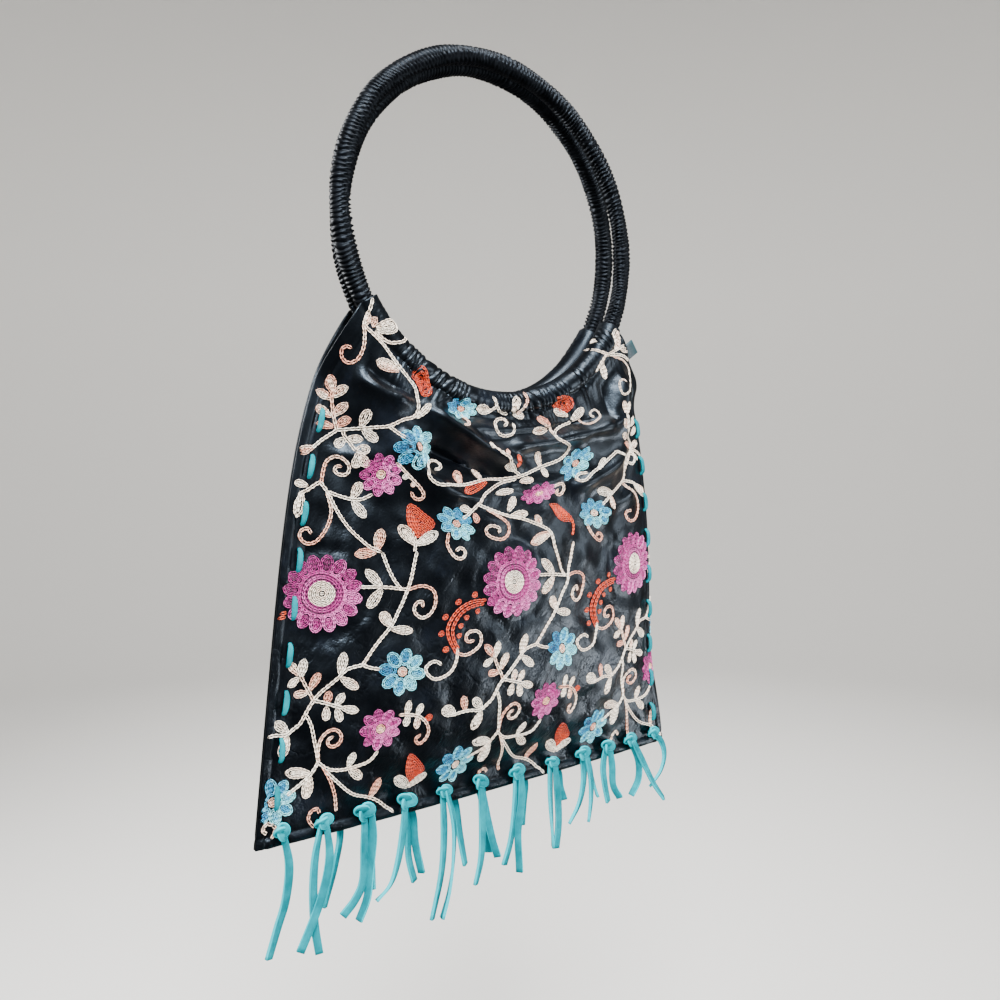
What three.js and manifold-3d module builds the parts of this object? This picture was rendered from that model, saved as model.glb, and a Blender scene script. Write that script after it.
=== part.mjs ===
// A soft leather handbag that hangs by two ring handles, laced down both sides and fringed below.
import * as THREE from 'three';
import { mergeVertices } from 'three/addons/utils/BufferGeometryUtils.js';
import Module from 'manifold-3d';

const wasm = await Module();
wasm.setup();

// Millimetres, +Z up, and the front faces -Y. The origin is where the bag hangs:
// at the top of the rings' inner edge, midway between the two rings.
const FRONT = -1;
const BACK = 1;
const UPWARD = new THREE.Vector3(0, 0, 1);
const GAP = 0.3; // between pieces that touch

// Ring handles
const RING_DIAMETER = 200; // over the binding
const RING_WIRE = 10.5;
const RING_SPREAD_AT_TOP = 11.5; // between the two ring planes at the hanging point
const RING_TILT = THREE.MathUtils.degToRad(2.2);
const BACK_RING_SHIFT = 7; // to the right of the front ring
const BACK_RING_TURN = THREE.MathUtils.degToRad(2.5); // its left side nearer to the front ring
const RING_STEPS = 40;
const RING_SIDES = 8;
const RING_RADIUS = (RING_DIAMETER - RING_WIRE) / 2;
const RING_CENTRE_DEPTH = RING_RADIUS - RING_WIRE / 2;

// Leather panels
const LEATHER = 1.4;
const BOTTOM_WIDTH = 278;
const BOTTOM_Z = -400.6;
const BOTTOM_SAG = 1.6; // lower in the middle
const BOTTOM_TILT = 1.6; // lower at the left, higher at the right
const SIDE_STRAIGHT = 0.55; // share of the side's taper that is even; the rest is near the top
const SIDE_TURN_IN = { left: 6, right: 9 }; // powers of the height
const SEAM_BAND = 14; // flat border where the two panels lie together
const FRONT_BELLY = 22;
const BACK_BELLY = 7;
const BELLY_RISE = 0.28; // shares of the panel's height
const BELLY_FALL = 0.5;
const MOUTH_AT_SIDE = 0.85;
const MOUTH_AT_MIDDLE = 0.35;
const ROW_CROWDING = 0.42; // rows lie closer together towards the top
const NORMAL_STEP = 0.004; // between the neighbours that give the leather's normal
const MERGE_DISTANCE = 1e-4;
const FRONT_MESH = { columns: 26, rows: 17, casingSteps: 32 };
const BACK_MESH = { columns: 12, rows: 10, casingSteps: 20 };

// Drape of the right side: its border hangs forward of the left one. This fades in over a reach
// across the panel, between two heights, and between two distances from the ring's centre line.
const FORWARD = { by: 9.5, reach: 75, heights: [-395, -240], fromRing: [9, 30] };

// Casing of each panel, rolled round its ring
const CASING_CLEARANCE = 0.55;
const CASING_INNER = RING_WIRE / 2 + CASING_CLEARANCE;
const CASING_WALL = 1.5;
const CASING_COVER = THREE.MathUtils.degToRad(61); // each way from the ring's lowest point
const CASING_LEAVES_AT = Math.PI / 4; // where the panel leaves the roll, round towards the outside
const GATHER_RIB = 1.2;
const GATHER_LENGTH = 0.12; // share of the panel's height
const GATHER_PEAK = 0.97;

// Folds of the front panel: three points of a curve (x, z), height of the ridge and its half width.
// A negative height is a hollow.
const FOLDS = [
  { from: [-36, -194], by: [0, -203], to: [36, -193], height: 3.0, width: 4.5 },
  { from: [-52, -186], by: [-28, -206], to: [10, -219], height: 5.0, width: 5.5 },
  { from: [-6, -208], by: [42, -205], to: [90, -188], height: 3.5, width: 5.0 },
  { from: [-64, -198], by: [-60, -234], to: [-14, -236], height: 5.0, width: 7.5 },
  { from: [82, -160], by: [94, -185], to: [84, -206], height: 4.0, width: 6.0 },
  { from: [42, -230], by: [72, -225], to: [96, -203], height: 3.5, width: 7.0 },
  { from: [-94, -168], by: [-78, -184], to: [-58, -186], height: 5.0, width: 7.5 },
  { from: [-54, -206], by: [-28, -218], to: [0, -228], height: -3.5, width: 6.0 },
  { from: [66, -165], by: [76, -178], to: [74, -198], height: -3.0, width: 6.0 },
];
const FOLD_SAMPLES = 16;
const FOLDS_FULL_AT = 0.3; // in from the side border, where 1 is the middle
const FOLDS_END_AT = 0.93; // share of the panel's height

// Side laces: running stitches through slots in both panels
const LACE_WIDTH = 4.4;
const LACE_THICKNESS = 1.3;
const LACE_INSET = 8.2; // from the side edge to the middle of the lace
const LACE_FIRST_Z = -189;
const LACE_HOLE_SPACING = 11.5;
const LACE_HOLES = 18;
const LACE_STUB = 2.6; // loose end behind the first and last holes
const LACE_LIFT = 0.4; // between the lace and the leather that it lies on
const SLOT_CLEARANCE = 0.4;
const CUT_DEPTH = 7.6; // through both panels

// Tassels along the bottom edge. The hole's x, the knot's width and height, and the ends' paths:
// each end is a list of (x, z) points that leaves the knot, with its depth y.
const KNOT_RISE = 7.8; // above the bottom edge
const KNOT_DEPTH = 5.5;
const KNOT_SIDES = 6;
const KNOT_ROWS = 4;
const NECK_WIDTH = 4.2;
const NECK_HEIGHT = 3.2;
const BACK_KNOT = { width: 9, height: 7, depth: 4 };
const END_WIDTH = 4.5;
const END_THICKNESS = 1.4;
const TASSELS = [
  { x: -127, knot: [8.5, 8.5], ends: [
    { y: -4.6, path: [[-127, -393], [-123.5, -411], [-125.5, -428], [-130, -441], [-134.5, -455]] },
  ] },
  { x: -105, knot: [10.5, 6.5], ends: [
    { y: -4.2, path: [[-105.5, -394], [-109.5, -411], [-111, -428], [-110.5, -445], [-108, -461]] },
    { y: -5.8, path: [[-104.5, -394], [-102.5, -411], [-105, -425], [-110, -438], [-119, -456]] },
    { y: 4.2, path: [[-100, -394], [-92, -404], [-95, -424], [-101, -443]] },
  ] },
  { x: -82.5, knot: [12, 9.5], ends: [
    { y: -4.4, path: [[-82, -394], [-82.5, -412], [-83.5, -430], [-88, -439], [-95, -446]] },
    { y: -5.8, path: [[-79, -394], [-78, -408], [-80, -425], [-82, -439], [-87, -450]] },
    { y: 4.2, path: [[-79, -394], [-75, -412], [-74, -428], [-73.5, -441]] },
  ] },
  { x: -57.5, knot: [12, 9], ends: [
    { y: -4.8, path: [[-58, -394], [-60, -412], [-63.5, -427], [-68, -437], [-76, -443.5]] },
    { y: 4.0, path: [[-56, -394], [-52, -412], [-51.5, -429], [-48, -444]] },
    { y: 5.2, path: [[-54, -394], [-48, -408], [-46.5, -424], [-43, -441]] },
  ] },
  { x: -34, knot: [9.5, 6.5], ends: [
    { y: -4.2, path: [[-34.5, -394], [-34, -418], [-36, -440], [-41.8, -464]] },
    { y: -5.8, path: [[-33, -394], [-28.5, -414], [-29, -434], [-32, -450], [-36.8, -464]] },
    { y: 4.2, path: [[-31, -394], [-22, -404], [-18, -425], [-14.5, -444]] },
  ] },
  { x: -10, knot: [10, 8.5], ends: [
    { y: -5.2, path: [[-10, -394], [-9, -414], [-10, -436], [-14, -452]] },
    { y: -4.0, path: [[-9, -394], [-5.5, -414], [-1.5, -430], [2.5, -441]] },
    { y: 4.2, path: [[-8, -394], [-2, -412], [0.5, -428], [2, -441]] },
  ] },
  { x: 15.5, knot: [10.5, 8.5], ends: [
    { y: -4.2, path: [[15.5, -394], [14.5, -414], [11.5, -433], [7, -447]] },
    { y: -5.6, path: [[18, -394], [18.5, -411], [15.5, -430], [16.5, -453]] },
    { y: 4.2, path: [[18, -394], [28, -404], [27.5, -418], [26, -431]] },
  ] },
  { x: 42, knot: [9.5, 6], ends: [
    { y: -4.2, path: [[41, -394], [41, -414], [42, -432], [43.5, -446]] },
    { y: -5.6, path: [[43.5, -394], [45.5, -412], [46, -430], [44, -446]] },
    { y: 4.2, path: [[46, -394], [54, -404], [56, -414], [59, -423]] },
  ] },
  { x: 66, knot: [11, 8], ends: [
    { y: -4.2, path: [[66, -393], [67.5, -408], [64, -423], [56, -435]] },
    { y: -5.6, path: [[68, -393], [72, -408], [72, -422], [70, -436]] },
    { y: 4.2, path: [[70, -393], [78, -403], [82.5, -415], [86.5, -427]] },
  ] },
  { x: 87, knot: [10, 8.5], ends: [
    { y: -4.2, path: [[86, -393], [83.5, -406], [85, -418], [88, -428.5]] },
    { y: -5.6, path: [[88, -393], [90, -406], [90.5, -418], [96, -427]] },
  ] },
  { x: 106, knot: [9.5, 8], ends: [
    { y: -4.2, path: [[106, -393], [113.5, -406], [114, -419], [108, -429]] },
    { y: -6.8, path: [[107, -393], [116, -408], [125.5, -424], [134, -435.5]] },
  ] },
  { x: 127, knot: [8.5, 7.5], ends: [
    { y: -3.6, path: [[127.5, -392], [135.5, -399], [138.5, -409], [135, -419], [126, -427]] },
  ] },
];

// Folded label at the top right corner, behind the front panel's edge and past it
const LABEL_THICKNESS = 1.2;
const LABEL_GAP = 0.9;
const LABEL_LENGTH = 12.5; // along the edge
const LABEL_BEHIND = 5;
const LABEL_PAST = 7.5;
const LABEL_UP = 0.95; // share of the panel's height

// Materials
function material(name, color, roughness) {
  return new THREE.MeshStandardMaterial({ name, color, roughness, metalness: 0 });
}
const leather = material('leather', 0x15171c, 0.45);
const binding = material('binding', 0x101114, 0.35);
const suede = material('suede', 0x2fc3cf, 0.9);
const label = material('label', 0xb9bec4, 0.8);

const { clamp, lerp, smoothstep } = THREE.MathUtils;

// A closed geometry from its points and triangles, turned so that its faces point out
function closedGeometry(points, triangles) {
  const position = new Float32Array(points.flatMap((point) => point.toArray()));
  const geometry = new THREE.BufferGeometry();
  geometry.setAttribute('position', new THREE.BufferAttribute(position, 3));
  let volume = 0;
  for (const [a, b, c] of triangles) {
    volume += points[a].dot(new THREE.Vector3().crossVectors(points[b], points[c]));
  }
  const outward = volume > 0 ? triangles : triangles.map(([a, b, c]) => [a, c, b]);
  geometry.setIndex(outward.flat());
  return geometry;
}

// Solids for joining and cutting
function toSolid(geometry) {
  const bare = geometry.clone();
  bare.deleteAttribute('normal');
  bare.deleteAttribute('uv');
  const merged = mergeVertices(bare, MERGE_DISTANCE);
  return new wasm.Manifold(new wasm.Mesh({
    numProp: 3,
    vertProperties: new Float32Array(merged.attributes.position.array),
    triVerts: new Uint32Array(merged.index.array),
  }));
}

function toGeometry(solid) {
  const mesh = solid.getMesh();
  const geometry = new THREE.BufferGeometry();
  geometry.setAttribute('position', new THREE.BufferAttribute(mesh.vertProperties, 3));
  geometry.setIndex(new THREE.BufferAttribute(mesh.triVerts, 1));
  return geometry;
}

function namedMesh(name, geometry, finish) {
  const mesh = new THREE.Mesh(geometry, finish);
  mesh.name = name;
  return mesh;
}

// Quads of a closed strip of sections: each section is a ring of points, and both ends are capped
function sectionsGeometry(sections) {
  const sides = sections[0].length;
  const at = (step, side) => step * sides + (side % sides);
  const triangles = [];
  for (let step = 0; step + 1 < sections.length; step += 1) {
    for (let side = 0; side < sides; side += 1) {
      triangles.push([at(step, side), at(step + 1, side), at(step + 1, side + 1)]);
      triangles.push([at(step, side), at(step + 1, side + 1), at(step, side + 1)]);
    }
  }
  const last = sections.length - 1;
  for (let side = 1; side + 1 < sides; side += 1) {
    triangles.push([at(0, 0), at(0, side), at(0, side + 1)]);
    triangles.push([at(last, 0), at(last, side + 1), at(last, side)]);
  }
  return closedGeometry(sections.flat(), triangles);
}

// A ring's frame: its centre, the directions across and down in its plane, and out of the bag
function ringFrame(side) {
  const across = new THREE.Vector3(1, 0, 0);
  const down = new THREE.Vector3(0, side * Math.sin(RING_TILT), -Math.cos(RING_TILT));
  const out = new THREE.Vector3(0, side * Math.cos(RING_TILT), Math.sin(RING_TILT));
  const shift = side === BACK ? BACK_RING_SHIFT : 0;
  const turn = side === BACK ? BACK_RING_TURN : 0;
  [across, down, out].forEach((way) => way.applyAxisAngle(UPWARD, turn));
  const hang = new THREE.Vector3(shift, (side * RING_SPREAD_AT_TOP) / 2, 0);
  const centre = hang.addScaledVector(down, RING_CENTRE_DEPTH);
  return { centre, across, down, out, shift, turn };
}

// A point beside the ring's centre line: at an angle round the ring from its lowest point,
// then at a distance from the centre line, turned from straight outward towards the outside
function besideRing(frame, angle, distance, turn) {
  const radial = frame.across.clone().multiplyScalar(Math.sin(angle));
  radial.addScaledVector(frame.down, Math.cos(angle));
  const point = frame.centre.clone().addScaledVector(radial, RING_RADIUS);
  point.addScaledVector(radial, distance * Math.cos(turn));
  return point.addScaledVector(frame.out, distance * Math.sin(turn));
}

function ringHandle(name, side) {
  const frame = ringFrame(side);
  const geometry = new THREE.TorusGeometry(RING_RADIUS, RING_WIRE / 2, RING_SIDES, RING_STEPS);
  const mesh = namedMesh(name, geometry, binding);
  mesh.position.copy(frame.centre);
  mesh.rotation.set(Math.PI / 2 + side * RING_TILT, 0, frame.turn, 'ZXY');
  return mesh;
}

// The rolled casing round the lower part of a ring: a tube with a gathered outside
function casingSolid(side, steps) {
  const frame = ringFrame(side);
  const points = [];
  for (let step = 0; step <= steps; step += 1) {
    const angle = lerp(-CASING_COVER, CASING_COVER, step / steps);
    const rib = step % 2 ? GATHER_RIB : 0;
    for (const distance of [CASING_INNER, CASING_INNER + CASING_WALL + rib]) {
      for (let corner = 0; corner < RING_SIDES; corner += 1) {
        points.push(besideRing(frame, angle, distance, (2 * Math.PI * corner) / RING_SIDES));
      }
    }
  }
  const at = (step, layer, corner) => (2 * step + layer) * RING_SIDES + (corner % RING_SIDES);
  const triangles = [];
  const quad = (a, b, c, d) => triangles.push([a, b, c], [a, c, d]);
  for (let corner = 0; corner < RING_SIDES; corner += 1) {
    const next = corner + 1;
    for (let step = 0; step < steps; step += 1) {
      quad(at(step, 1, corner), at(step, 1, next), at(step + 1, 1, next), at(step + 1, 1, corner));
      quad(at(step, 0, corner), at(step + 1, 0, corner), at(step + 1, 0, next), at(step, 0, next));
    }
    quad(at(0, 0, corner), at(0, 0, next), at(0, 1, next), at(0, 1, corner));
    quad(at(steps, 0, corner), at(steps, 1, corner), at(steps, 1, next), at(steps, 0, next));
  }
  return toSolid(closedGeometry(points, triangles));
}

// Height of the front panel's folds at a place on it
function foldHeight(x, z) {
  let height = 0;
  const here = new THREE.Vector2(x, z);
  for (const fold of FOLDS) {
    const [from, by, to] = [fold.from, fold.by, fold.to].map((place) => new THREE.Vector2(...place));
    const ridge = new THREE.QuadraticBezierCurve(from, by, to).getPoints(FOLD_SAMPLES);
    const distances = ridge.map((place) => place.distanceTo(here));
    height += fold.height * Math.exp(-((Math.min(...distances) / fold.width) ** 2));
  }
  return height;
}

// How far in from the flat side border a place is: 0 on the border, 1 in the middle
function inFromSide(across) {
  const border = (2 * SEAM_BAND) / BOTTOM_WIDTH;
  return 1 - Math.min(1, Math.abs(across) / (1 - border)) ** 2;
}

// How far the two panels have parted towards their own rings: 0 on the seam, 1 at the casing
function parting(across, up) {
  const start = lerp(MOUTH_AT_SIDE, MOUTH_AT_MIDDLE, inFromSide(across));
  return smoothstep(up, start, 1);
}

function bottomEdge(across) {
  return BOTTOM_Z + BOTTOM_TILT * across - BOTTOM_SAG * (1 - across ** 2);
}

// The middle of a panel's leather, across from -1 to 1 and up from 0 (bottom edge) to 1 (casing)
function panelPoint(side, across, up) {
  const frame = ringFrame(side);
  const middle = CASING_INNER + CASING_WALL / 2;
  const top = besideRing(frame, across * CASING_COVER, middle, CASING_LEAVES_AT);
  const turnIn = lerp(SIDE_TURN_IN.left, SIDE_TURN_IN.right, (across + 1) / 2);
  const taper = SIDE_STRAIGHT * up + (1 - SIDE_STRAIGHT) * Math.max(0, up) ** turnIn;
  const parted = parting(across, up);
  const x = lerp((across * BOTTOM_WIDTH) / 2, top.x - frame.shift, taper) + frame.shift * parted;
  const z = lerp(bottomEdge(across), top.z, up);
  const bottomBand = SEAM_BAND / (top.z - BOTTOM_Z);
  const rise = clamp((up - bottomBand) / BELLY_RISE, 0, 1);
  const fullness = (1 - (1 - rise) ** 2) * (1 - smoothstep(up, BELLY_FALL, 1));
  const belly = side === FRONT ? FRONT_BELLY : BACK_BELLY;
  const seamDepth = (GAP + LEATHER) / 2;
  let depth = lerp(seamDepth, Math.abs(top.y), parted);
  depth += belly * fullness * inFromSide(across);
  if (side === FRONT) {
    const freeOfSides = smoothstep(inFromSide(across), 0, FOLDS_FULL_AT);
    const freeOfCasing = 1 - smoothstep(up, FOLDS_END_AT, 1);
    depth += foldHeight(x, z) * freeOfSides * freeOfCasing;
  }
  return new THREE.Vector3(x, side * depth, z);
}

// The leather's outward normal, from neighbouring points of the panel
function panelNormal(side, across, up) {
  const step = NORMAL_STEP;
  const right = panelPoint(side, across + step, up).sub(panelPoint(side, across - step, up));
  const rise = panelPoint(side, across, up + step).sub(panelPoint(side, across, up - step));
  return right.cross(rise).normalize().multiplyScalar(-side);
}

// A sheet of leather with an outer and an inner face: the panel's points moved out and in
function sheetGeometry(outer, inner, columns, rows) {
  const count = (columns + 1) * (rows + 1);
  const at = (layer, column, row) => layer * count + row * (columns + 1) + column;
  const triangles = [];
  const quad = (a, b, c, d) => triangles.push([a, b, c], [a, c, d]);
  for (let row = 0; row < rows; row += 1) {
    for (let column = 0; column < columns; column += 1) {
      const [right, above] = [column + 1, row + 1];
      quad(at(0, column, row), at(0, right, row), at(0, right, above), at(0, column, above));
      quad(at(1, column, row), at(1, column, above), at(1, right, above), at(1, right, row));
    }
  }
  for (let column = 0; column < columns; column += 1) {
    quad(at(1, column, 0), at(1, column + 1, 0), at(0, column + 1, 0), at(0, column, 0));
    quad(at(0, column, rows), at(0, column + 1, rows), at(1, column + 1, rows), at(1, column, rows));
  }
  for (let row = 0; row < rows; row += 1) {
    quad(at(0, 0, row), at(0, 0, row + 1), at(1, 0, row + 1), at(1, 0, row));
    quad(at(1, columns, row), at(1, columns, row + 1), at(0, columns, row + 1), at(0, columns, row));
  }
  return closedGeometry([...outer, ...inner], triangles);
}

// Stations across a panel: the borders at both sides, and even steps between them
function stationsAcross(columns) {
  const border = (2 * SEAM_BAND) / BOTTOM_WIDTH;
  const inside = columns - 2;
  const stations = [-1];
  for (let step = 0; step <= inside; step += 1) {
    stations.push(lerp(-1 + border, 1 - border, step / inside));
  }
  return [...stations, 1];
}

// Stations up a panel: the bottom border, then rows that lie closer towards the casing
function stationsUp(rows) {
  const border = SEAM_BAND / (RING_DIAMETER + BOTTOM_SAG);
  const stations = [0];
  for (let step = 0; step < rows; step += 1) {
    const share = step / (rows - 1);
    stations.push(lerp(border, 1, share * (1 + ROW_CROWDING * (1 - share))));
  }
  return stations;
}

function panelSolid(side, columns, rows) {
  const across = stationsAcross(columns);
  const up = stationsUp(rows);
  const outer = [];
  const inner = [];
  for (const height of up) {
    across.forEach((place, column) => {
      const point = panelPoint(side, place, height);
      const normal = panelNormal(side, place, height);
      const growing = smoothstep(height, 1 - GATHER_LENGTH, GATHER_PEAK);
      const nearCasing = growing * (1 - smoothstep(height, GATHER_PEAK, 1));
      const rib = (column % 2 ? GATHER_RIB : 0) * nearCasing * inFromSide(place);
      outer.push(drape(point.clone().addScaledVector(normal, LEATHER / 2 + rib)));
      inner.push(drape(point.clone().addScaledVector(normal, -LEATHER / 2)));
    });
  }
  return toSolid(sheetGeometry(outer, inner, columns, rows));
}

// The x of a panel's side edge at a height: hand is -1 at the left, 1 at the right
function sideEdge(hand, z) {
  const up = (z - bottomEdge(hand)) / (panelPoint(FRONT, hand, 1).z - bottomEdge(hand));
  return panelPoint(FRONT, hand, clamp(up, 0, 1)).x;
}

// Moves a point near the right side forward, and the whole flat border by the same amount
function drape(point) {
  const border = sideEdge(1, point.z) - SEAM_BAND;
  const fromRing = Math.hypot(Math.min(point.x, border), point.z + RING_CENTRE_DEPTH) - RING_RADIUS;
  const reached = smoothstep(point.x, border - FORWARD.reach, border);
  const share = smoothstep(point.z, ...FORWARD.heights) * smoothstep(fromRing, ...FORWARD.fromRing);
  point.y -= FORWARD.by * share * reached;
  return point;
}

function draped(geometry) {
  const position = geometry.attributes.position;
  for (let index = 0; index < position.count; index += 1) {
    const point = drape(new THREE.Vector3().fromBufferAttribute(position, index));
    position.setXYZ(index, point.x, point.y, point.z);
  }
  return geometry;
}

// A hole of the lace's line down one side, where both panels lie flat
function laceHole(hand, hole) {
  const z = LACE_FIRST_Z - LACE_HOLE_SPACING * hole;
  return new THREE.Vector3(sideEdge(hand, z) - hand * LACE_INSET, 0, z);
}

function knotHeight(x) {
  return bottomEdge((2 * x) / BOTTOM_WIDTH) + KNOT_RISE;
}

function boxAt(width, depth, height, centre, turn = 0) {
  const geometry = new THREE.BoxGeometry(width, depth, height);
  geometry.rotateY(turn);
  geometry.translate(centre.x, centre.y, centre.z);
  return geometry;
}

// Everything that is cut through both panels: lace slots and tassel holes
function cuts() {
  const slack = 2 * SLOT_CLEARANCE;
  const boxes = [];
  for (const hand of [-1, 1]) {
    for (let hole = 0; hole < LACE_HOLES; hole += 1) {
      const centre = laceHole(hand, hole);
      const along = laceHole(hand, hole + 1).sub(laceHole(hand, hole - 1));
      const turn = Math.atan2(-along.x, -along.z);
      const height = LACE_THICKNESS + slack;
      boxes.push(draped(boxAt(LACE_WIDTH + slack, CUT_DEPTH, height, centre, turn)));
    }
  }
  for (const { x } of TASSELS) {
    const centre = new THREE.Vector3(x, 0, knotHeight(x));
    boxes.push(boxAt(NECK_WIDTH + slack, CUT_DEPTH, NECK_HEIGHT + slack, centre));
  }
  return boxes.map(toSolid).reduce((all, box) => all.add(box));
}

function panel(name, side, { columns, rows, casingSteps }, holes) {
  const body = panelSolid(side, columns, rows).add(casingSolid(side, casingSteps));
  return namedMesh(name, toGeometry(body.subtract(holes)), leather);
}

// A lace in and out of its slots: a flat strip with mitred square turns
function sideLace(name, hand) {
  const face = GAP / 2 + LEATHER + LACE_LIFT + LACE_THICKNESS / 2;
  const sections = [];
  const addSection = (centre, along, through) => {
    const downward = laceHole(hand, LACE_HOLES - 1).sub(laceHole(hand, 0)).normalize();
    const wide = new THREE.Vector3(downward.z, 0, -downward.x).multiplyScalar(LACE_WIDTH / 2);
    const thick = downward.multiplyScalar(along * (LACE_THICKNESS / 2));
    thick.y = through * (LACE_THICKNESS / 2);
    const corners = [[1, 1], [-1, 1], [-1, -1], [1, -1]];
    sections.push(corners.map(([w, t]) => {
      return centre.clone().addScaledVector(wide, w).addScaledVector(thick, t);
    }));
  };
  const first = laceHole(hand, 0);
  addSection(new THREE.Vector3(first.x, face, first.z + LACE_STUB), 0, 1);
  for (let hole = 0; hole < LACE_HOLES; hole += 1) {
    const centre = laceHole(hand, hole);
    const entering = hole % 2 ? FRONT : BACK;
    const turn = entering === BACK ? 1 : -1;
    addSection(centre.clone().setY(entering * face), turn, 1);
    addSection(centre.clone().setY(-entering * face), turn, 1);
  }
  const last = laceHole(hand, LACE_HOLES - 1);
  addSection(new THREE.Vector3(last.x, face, last.z - LACE_STUB), 0, 1);
  return namedMesh(name, draped(sectionsGeometry(sections)), suede);
}

// One hanging end of a tassel: a flat strip along its path
function tasselEnd({ y, path }) {
  const curve = new THREE.CatmullRomCurve3(path.map(([x, z]) => new THREE.Vector3(x, y, z)));
  const steps = path.length;
  const sections = [];
  for (let step = 0; step <= steps; step += 1) {
    const centre = curve.getPoint(step / steps);
    const along = curve.getTangent(step / steps);
    const wide = new THREE.Vector3(along.z, 0, -along.x).normalize().multiplyScalar(END_WIDTH / 2);
    const thick = new THREE.Vector3(0, END_THICKNESS / 2, 0);
    const corners = [[1, 1], [-1, 1], [-1, -1], [1, -1]];
    sections.push(corners.map(([w, t]) => {
      return centre.clone().addScaledVector(wide, w).addScaledVector(thick, t);
    }));
  }
  return toSolid(sectionsGeometry(sections));
}

// A tassel: a knot in front, a neck through the hole, a flat turn behind, and the hanging ends
function tassel(name, { x, knot, ends }) {
  const face = GAP / 2 + LEATHER + GAP;
  const height = knotHeight(x);
  const knotGeometry = new THREE.SphereGeometry(0.5, KNOT_SIDES, KNOT_ROWS);
  knotGeometry.scale(knot[0], KNOT_DEPTH, knot[1]);
  knotGeometry.translate(x, -face - KNOT_DEPTH / 2, height);
  const neckDepth = 2 * face + KNOT_DEPTH;
  const neckCentre = new THREE.Vector3(x, -KNOT_DEPTH / 2 + BACK_KNOT.depth / 4, height);
  const neck = boxAt(NECK_WIDTH, neckDepth, NECK_HEIGHT, neckCentre);
  const behind = new THREE.Vector3(x, face + BACK_KNOT.depth / 2, height);
  const turn = boxAt(BACK_KNOT.width, BACK_KNOT.depth, BACK_KNOT.height, behind);
  let body = toSolid(knotGeometry).add(toSolid(neck)).add(toSolid(turn));
  for (const end of ends) {
    body = body.add(tasselEnd(end));
  }
  return namedMesh(name, toGeometry(body), suede);
}

// The label: a flat tab in the plane of the front panel's edge, just inside the leather
function sideLabel(name) {
  const edge = panelPoint(FRONT, 1, LABEL_UP);
  const normal = panelNormal(FRONT, 1, LABEL_UP);
  const along = panelPoint(FRONT, 1, LABEL_UP + NORMAL_STEP).sub(edge).normalize();
  const outward = along.clone().cross(normal).normalize();
  outward.multiplyScalar(Math.sign(outward.x));
  const inside = LEATHER / 2 + LABEL_GAP + LABEL_THICKNESS / 2;
  const centre = edge.clone().addScaledVector(normal, -inside);
  centre.addScaledVector(outward, (LABEL_PAST - LABEL_BEHIND) / 2);
  const tab = new THREE.BoxGeometry(LABEL_PAST + LABEL_BEHIND, LABEL_LENGTH, LABEL_THICKNESS);
  const mesh = namedMesh(name, tab, label);
  const upright = new THREE.Vector3().crossVectors(outward, along);
  mesh.quaternion.setFromRotationMatrix(new THREE.Matrix4().makeBasis(outward, along, upright));
  mesh.position.copy(drape(centre));
  return mesh;
}

const handbag = new THREE.Group();
const holes = cuts();
handbag.add(ringHandle('front_ring', FRONT));
handbag.add(ringHandle('back_ring', BACK));
handbag.add(panel('front_panel', FRONT, FRONT_MESH, holes));
handbag.add(panel('back_panel', BACK, BACK_MESH, holes));
handbag.add(sideLace('left_lace', -1));
handbag.add(sideLace('right_lace', 1));
TASSELS.forEach((row, index) => {
  handbag.add(tassel(`tassel_${String(index + 1).padStart(2, '0')}`, row));
});
handbag.add(sideLabel('side_label'));

export default handbag;
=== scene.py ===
"""The looks of a fringed leather handbag on two bound rings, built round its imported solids."""
import math

import bpy
import numpy as np
from mathutils import Matrix, Vector


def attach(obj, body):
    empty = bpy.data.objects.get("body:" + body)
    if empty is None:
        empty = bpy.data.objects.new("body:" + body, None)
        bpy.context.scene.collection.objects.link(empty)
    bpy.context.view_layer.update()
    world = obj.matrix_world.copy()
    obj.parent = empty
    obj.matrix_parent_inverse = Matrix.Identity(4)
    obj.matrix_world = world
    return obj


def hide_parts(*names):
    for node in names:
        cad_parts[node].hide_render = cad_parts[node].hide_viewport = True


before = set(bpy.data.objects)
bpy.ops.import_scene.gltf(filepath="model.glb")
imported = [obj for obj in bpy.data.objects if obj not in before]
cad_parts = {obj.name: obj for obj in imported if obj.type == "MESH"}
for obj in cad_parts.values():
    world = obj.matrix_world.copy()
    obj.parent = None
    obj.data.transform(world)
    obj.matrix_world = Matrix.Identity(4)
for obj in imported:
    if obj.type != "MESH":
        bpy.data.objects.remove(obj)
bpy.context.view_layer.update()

MM = 0.001
rng = np.random.default_rng(7)

# Camera at the photograph's viewpoint: millimetres and degrees, turned right of +Y
CAMERA_PLACE = (-293.0, -413.4, -219.1)
CAMERA_TURN = 36.08
CAMERA_PITCH = -2.03
CAMERA_ROLL = -0.32
CAMERA_LENS = 32.27
CAMERA_SENSOR = 36.0


def add_camera():
    """Sets the camera from its place and its three angles: ahead, then right, then a roll of both."""
    turn, pitch, roll = (math.radians(angle) for angle in (CAMERA_TURN, CAMERA_PITCH, CAMERA_ROLL))
    ahead = Vector((
        math.sin(turn) * math.cos(pitch),
        math.cos(turn) * math.cos(pitch),
        math.sin(pitch),
    ))
    level = Vector((math.cos(turn), -math.sin(turn), 0))
    upright = level.cross(ahead)
    right = level * math.cos(roll) + upright * math.sin(roll)
    up = upright * math.cos(roll) - level * math.sin(roll)
    data = bpy.data.cameras.new("camera")
    data.lens = CAMERA_LENS
    data.sensor_width = CAMERA_SENSOR
    camera = bpy.data.objects.new("camera", data)
    placed = Matrix((right, up, -ahead)).transposed().to_4x4()
    placed.translation = Vector(CAMERA_PLACE) * MM
    camera.matrix_world = placed
    bpy.context.scene.collection.objects.link(camera)
    bpy.context.scene.camera = camera


add_camera()

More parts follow.
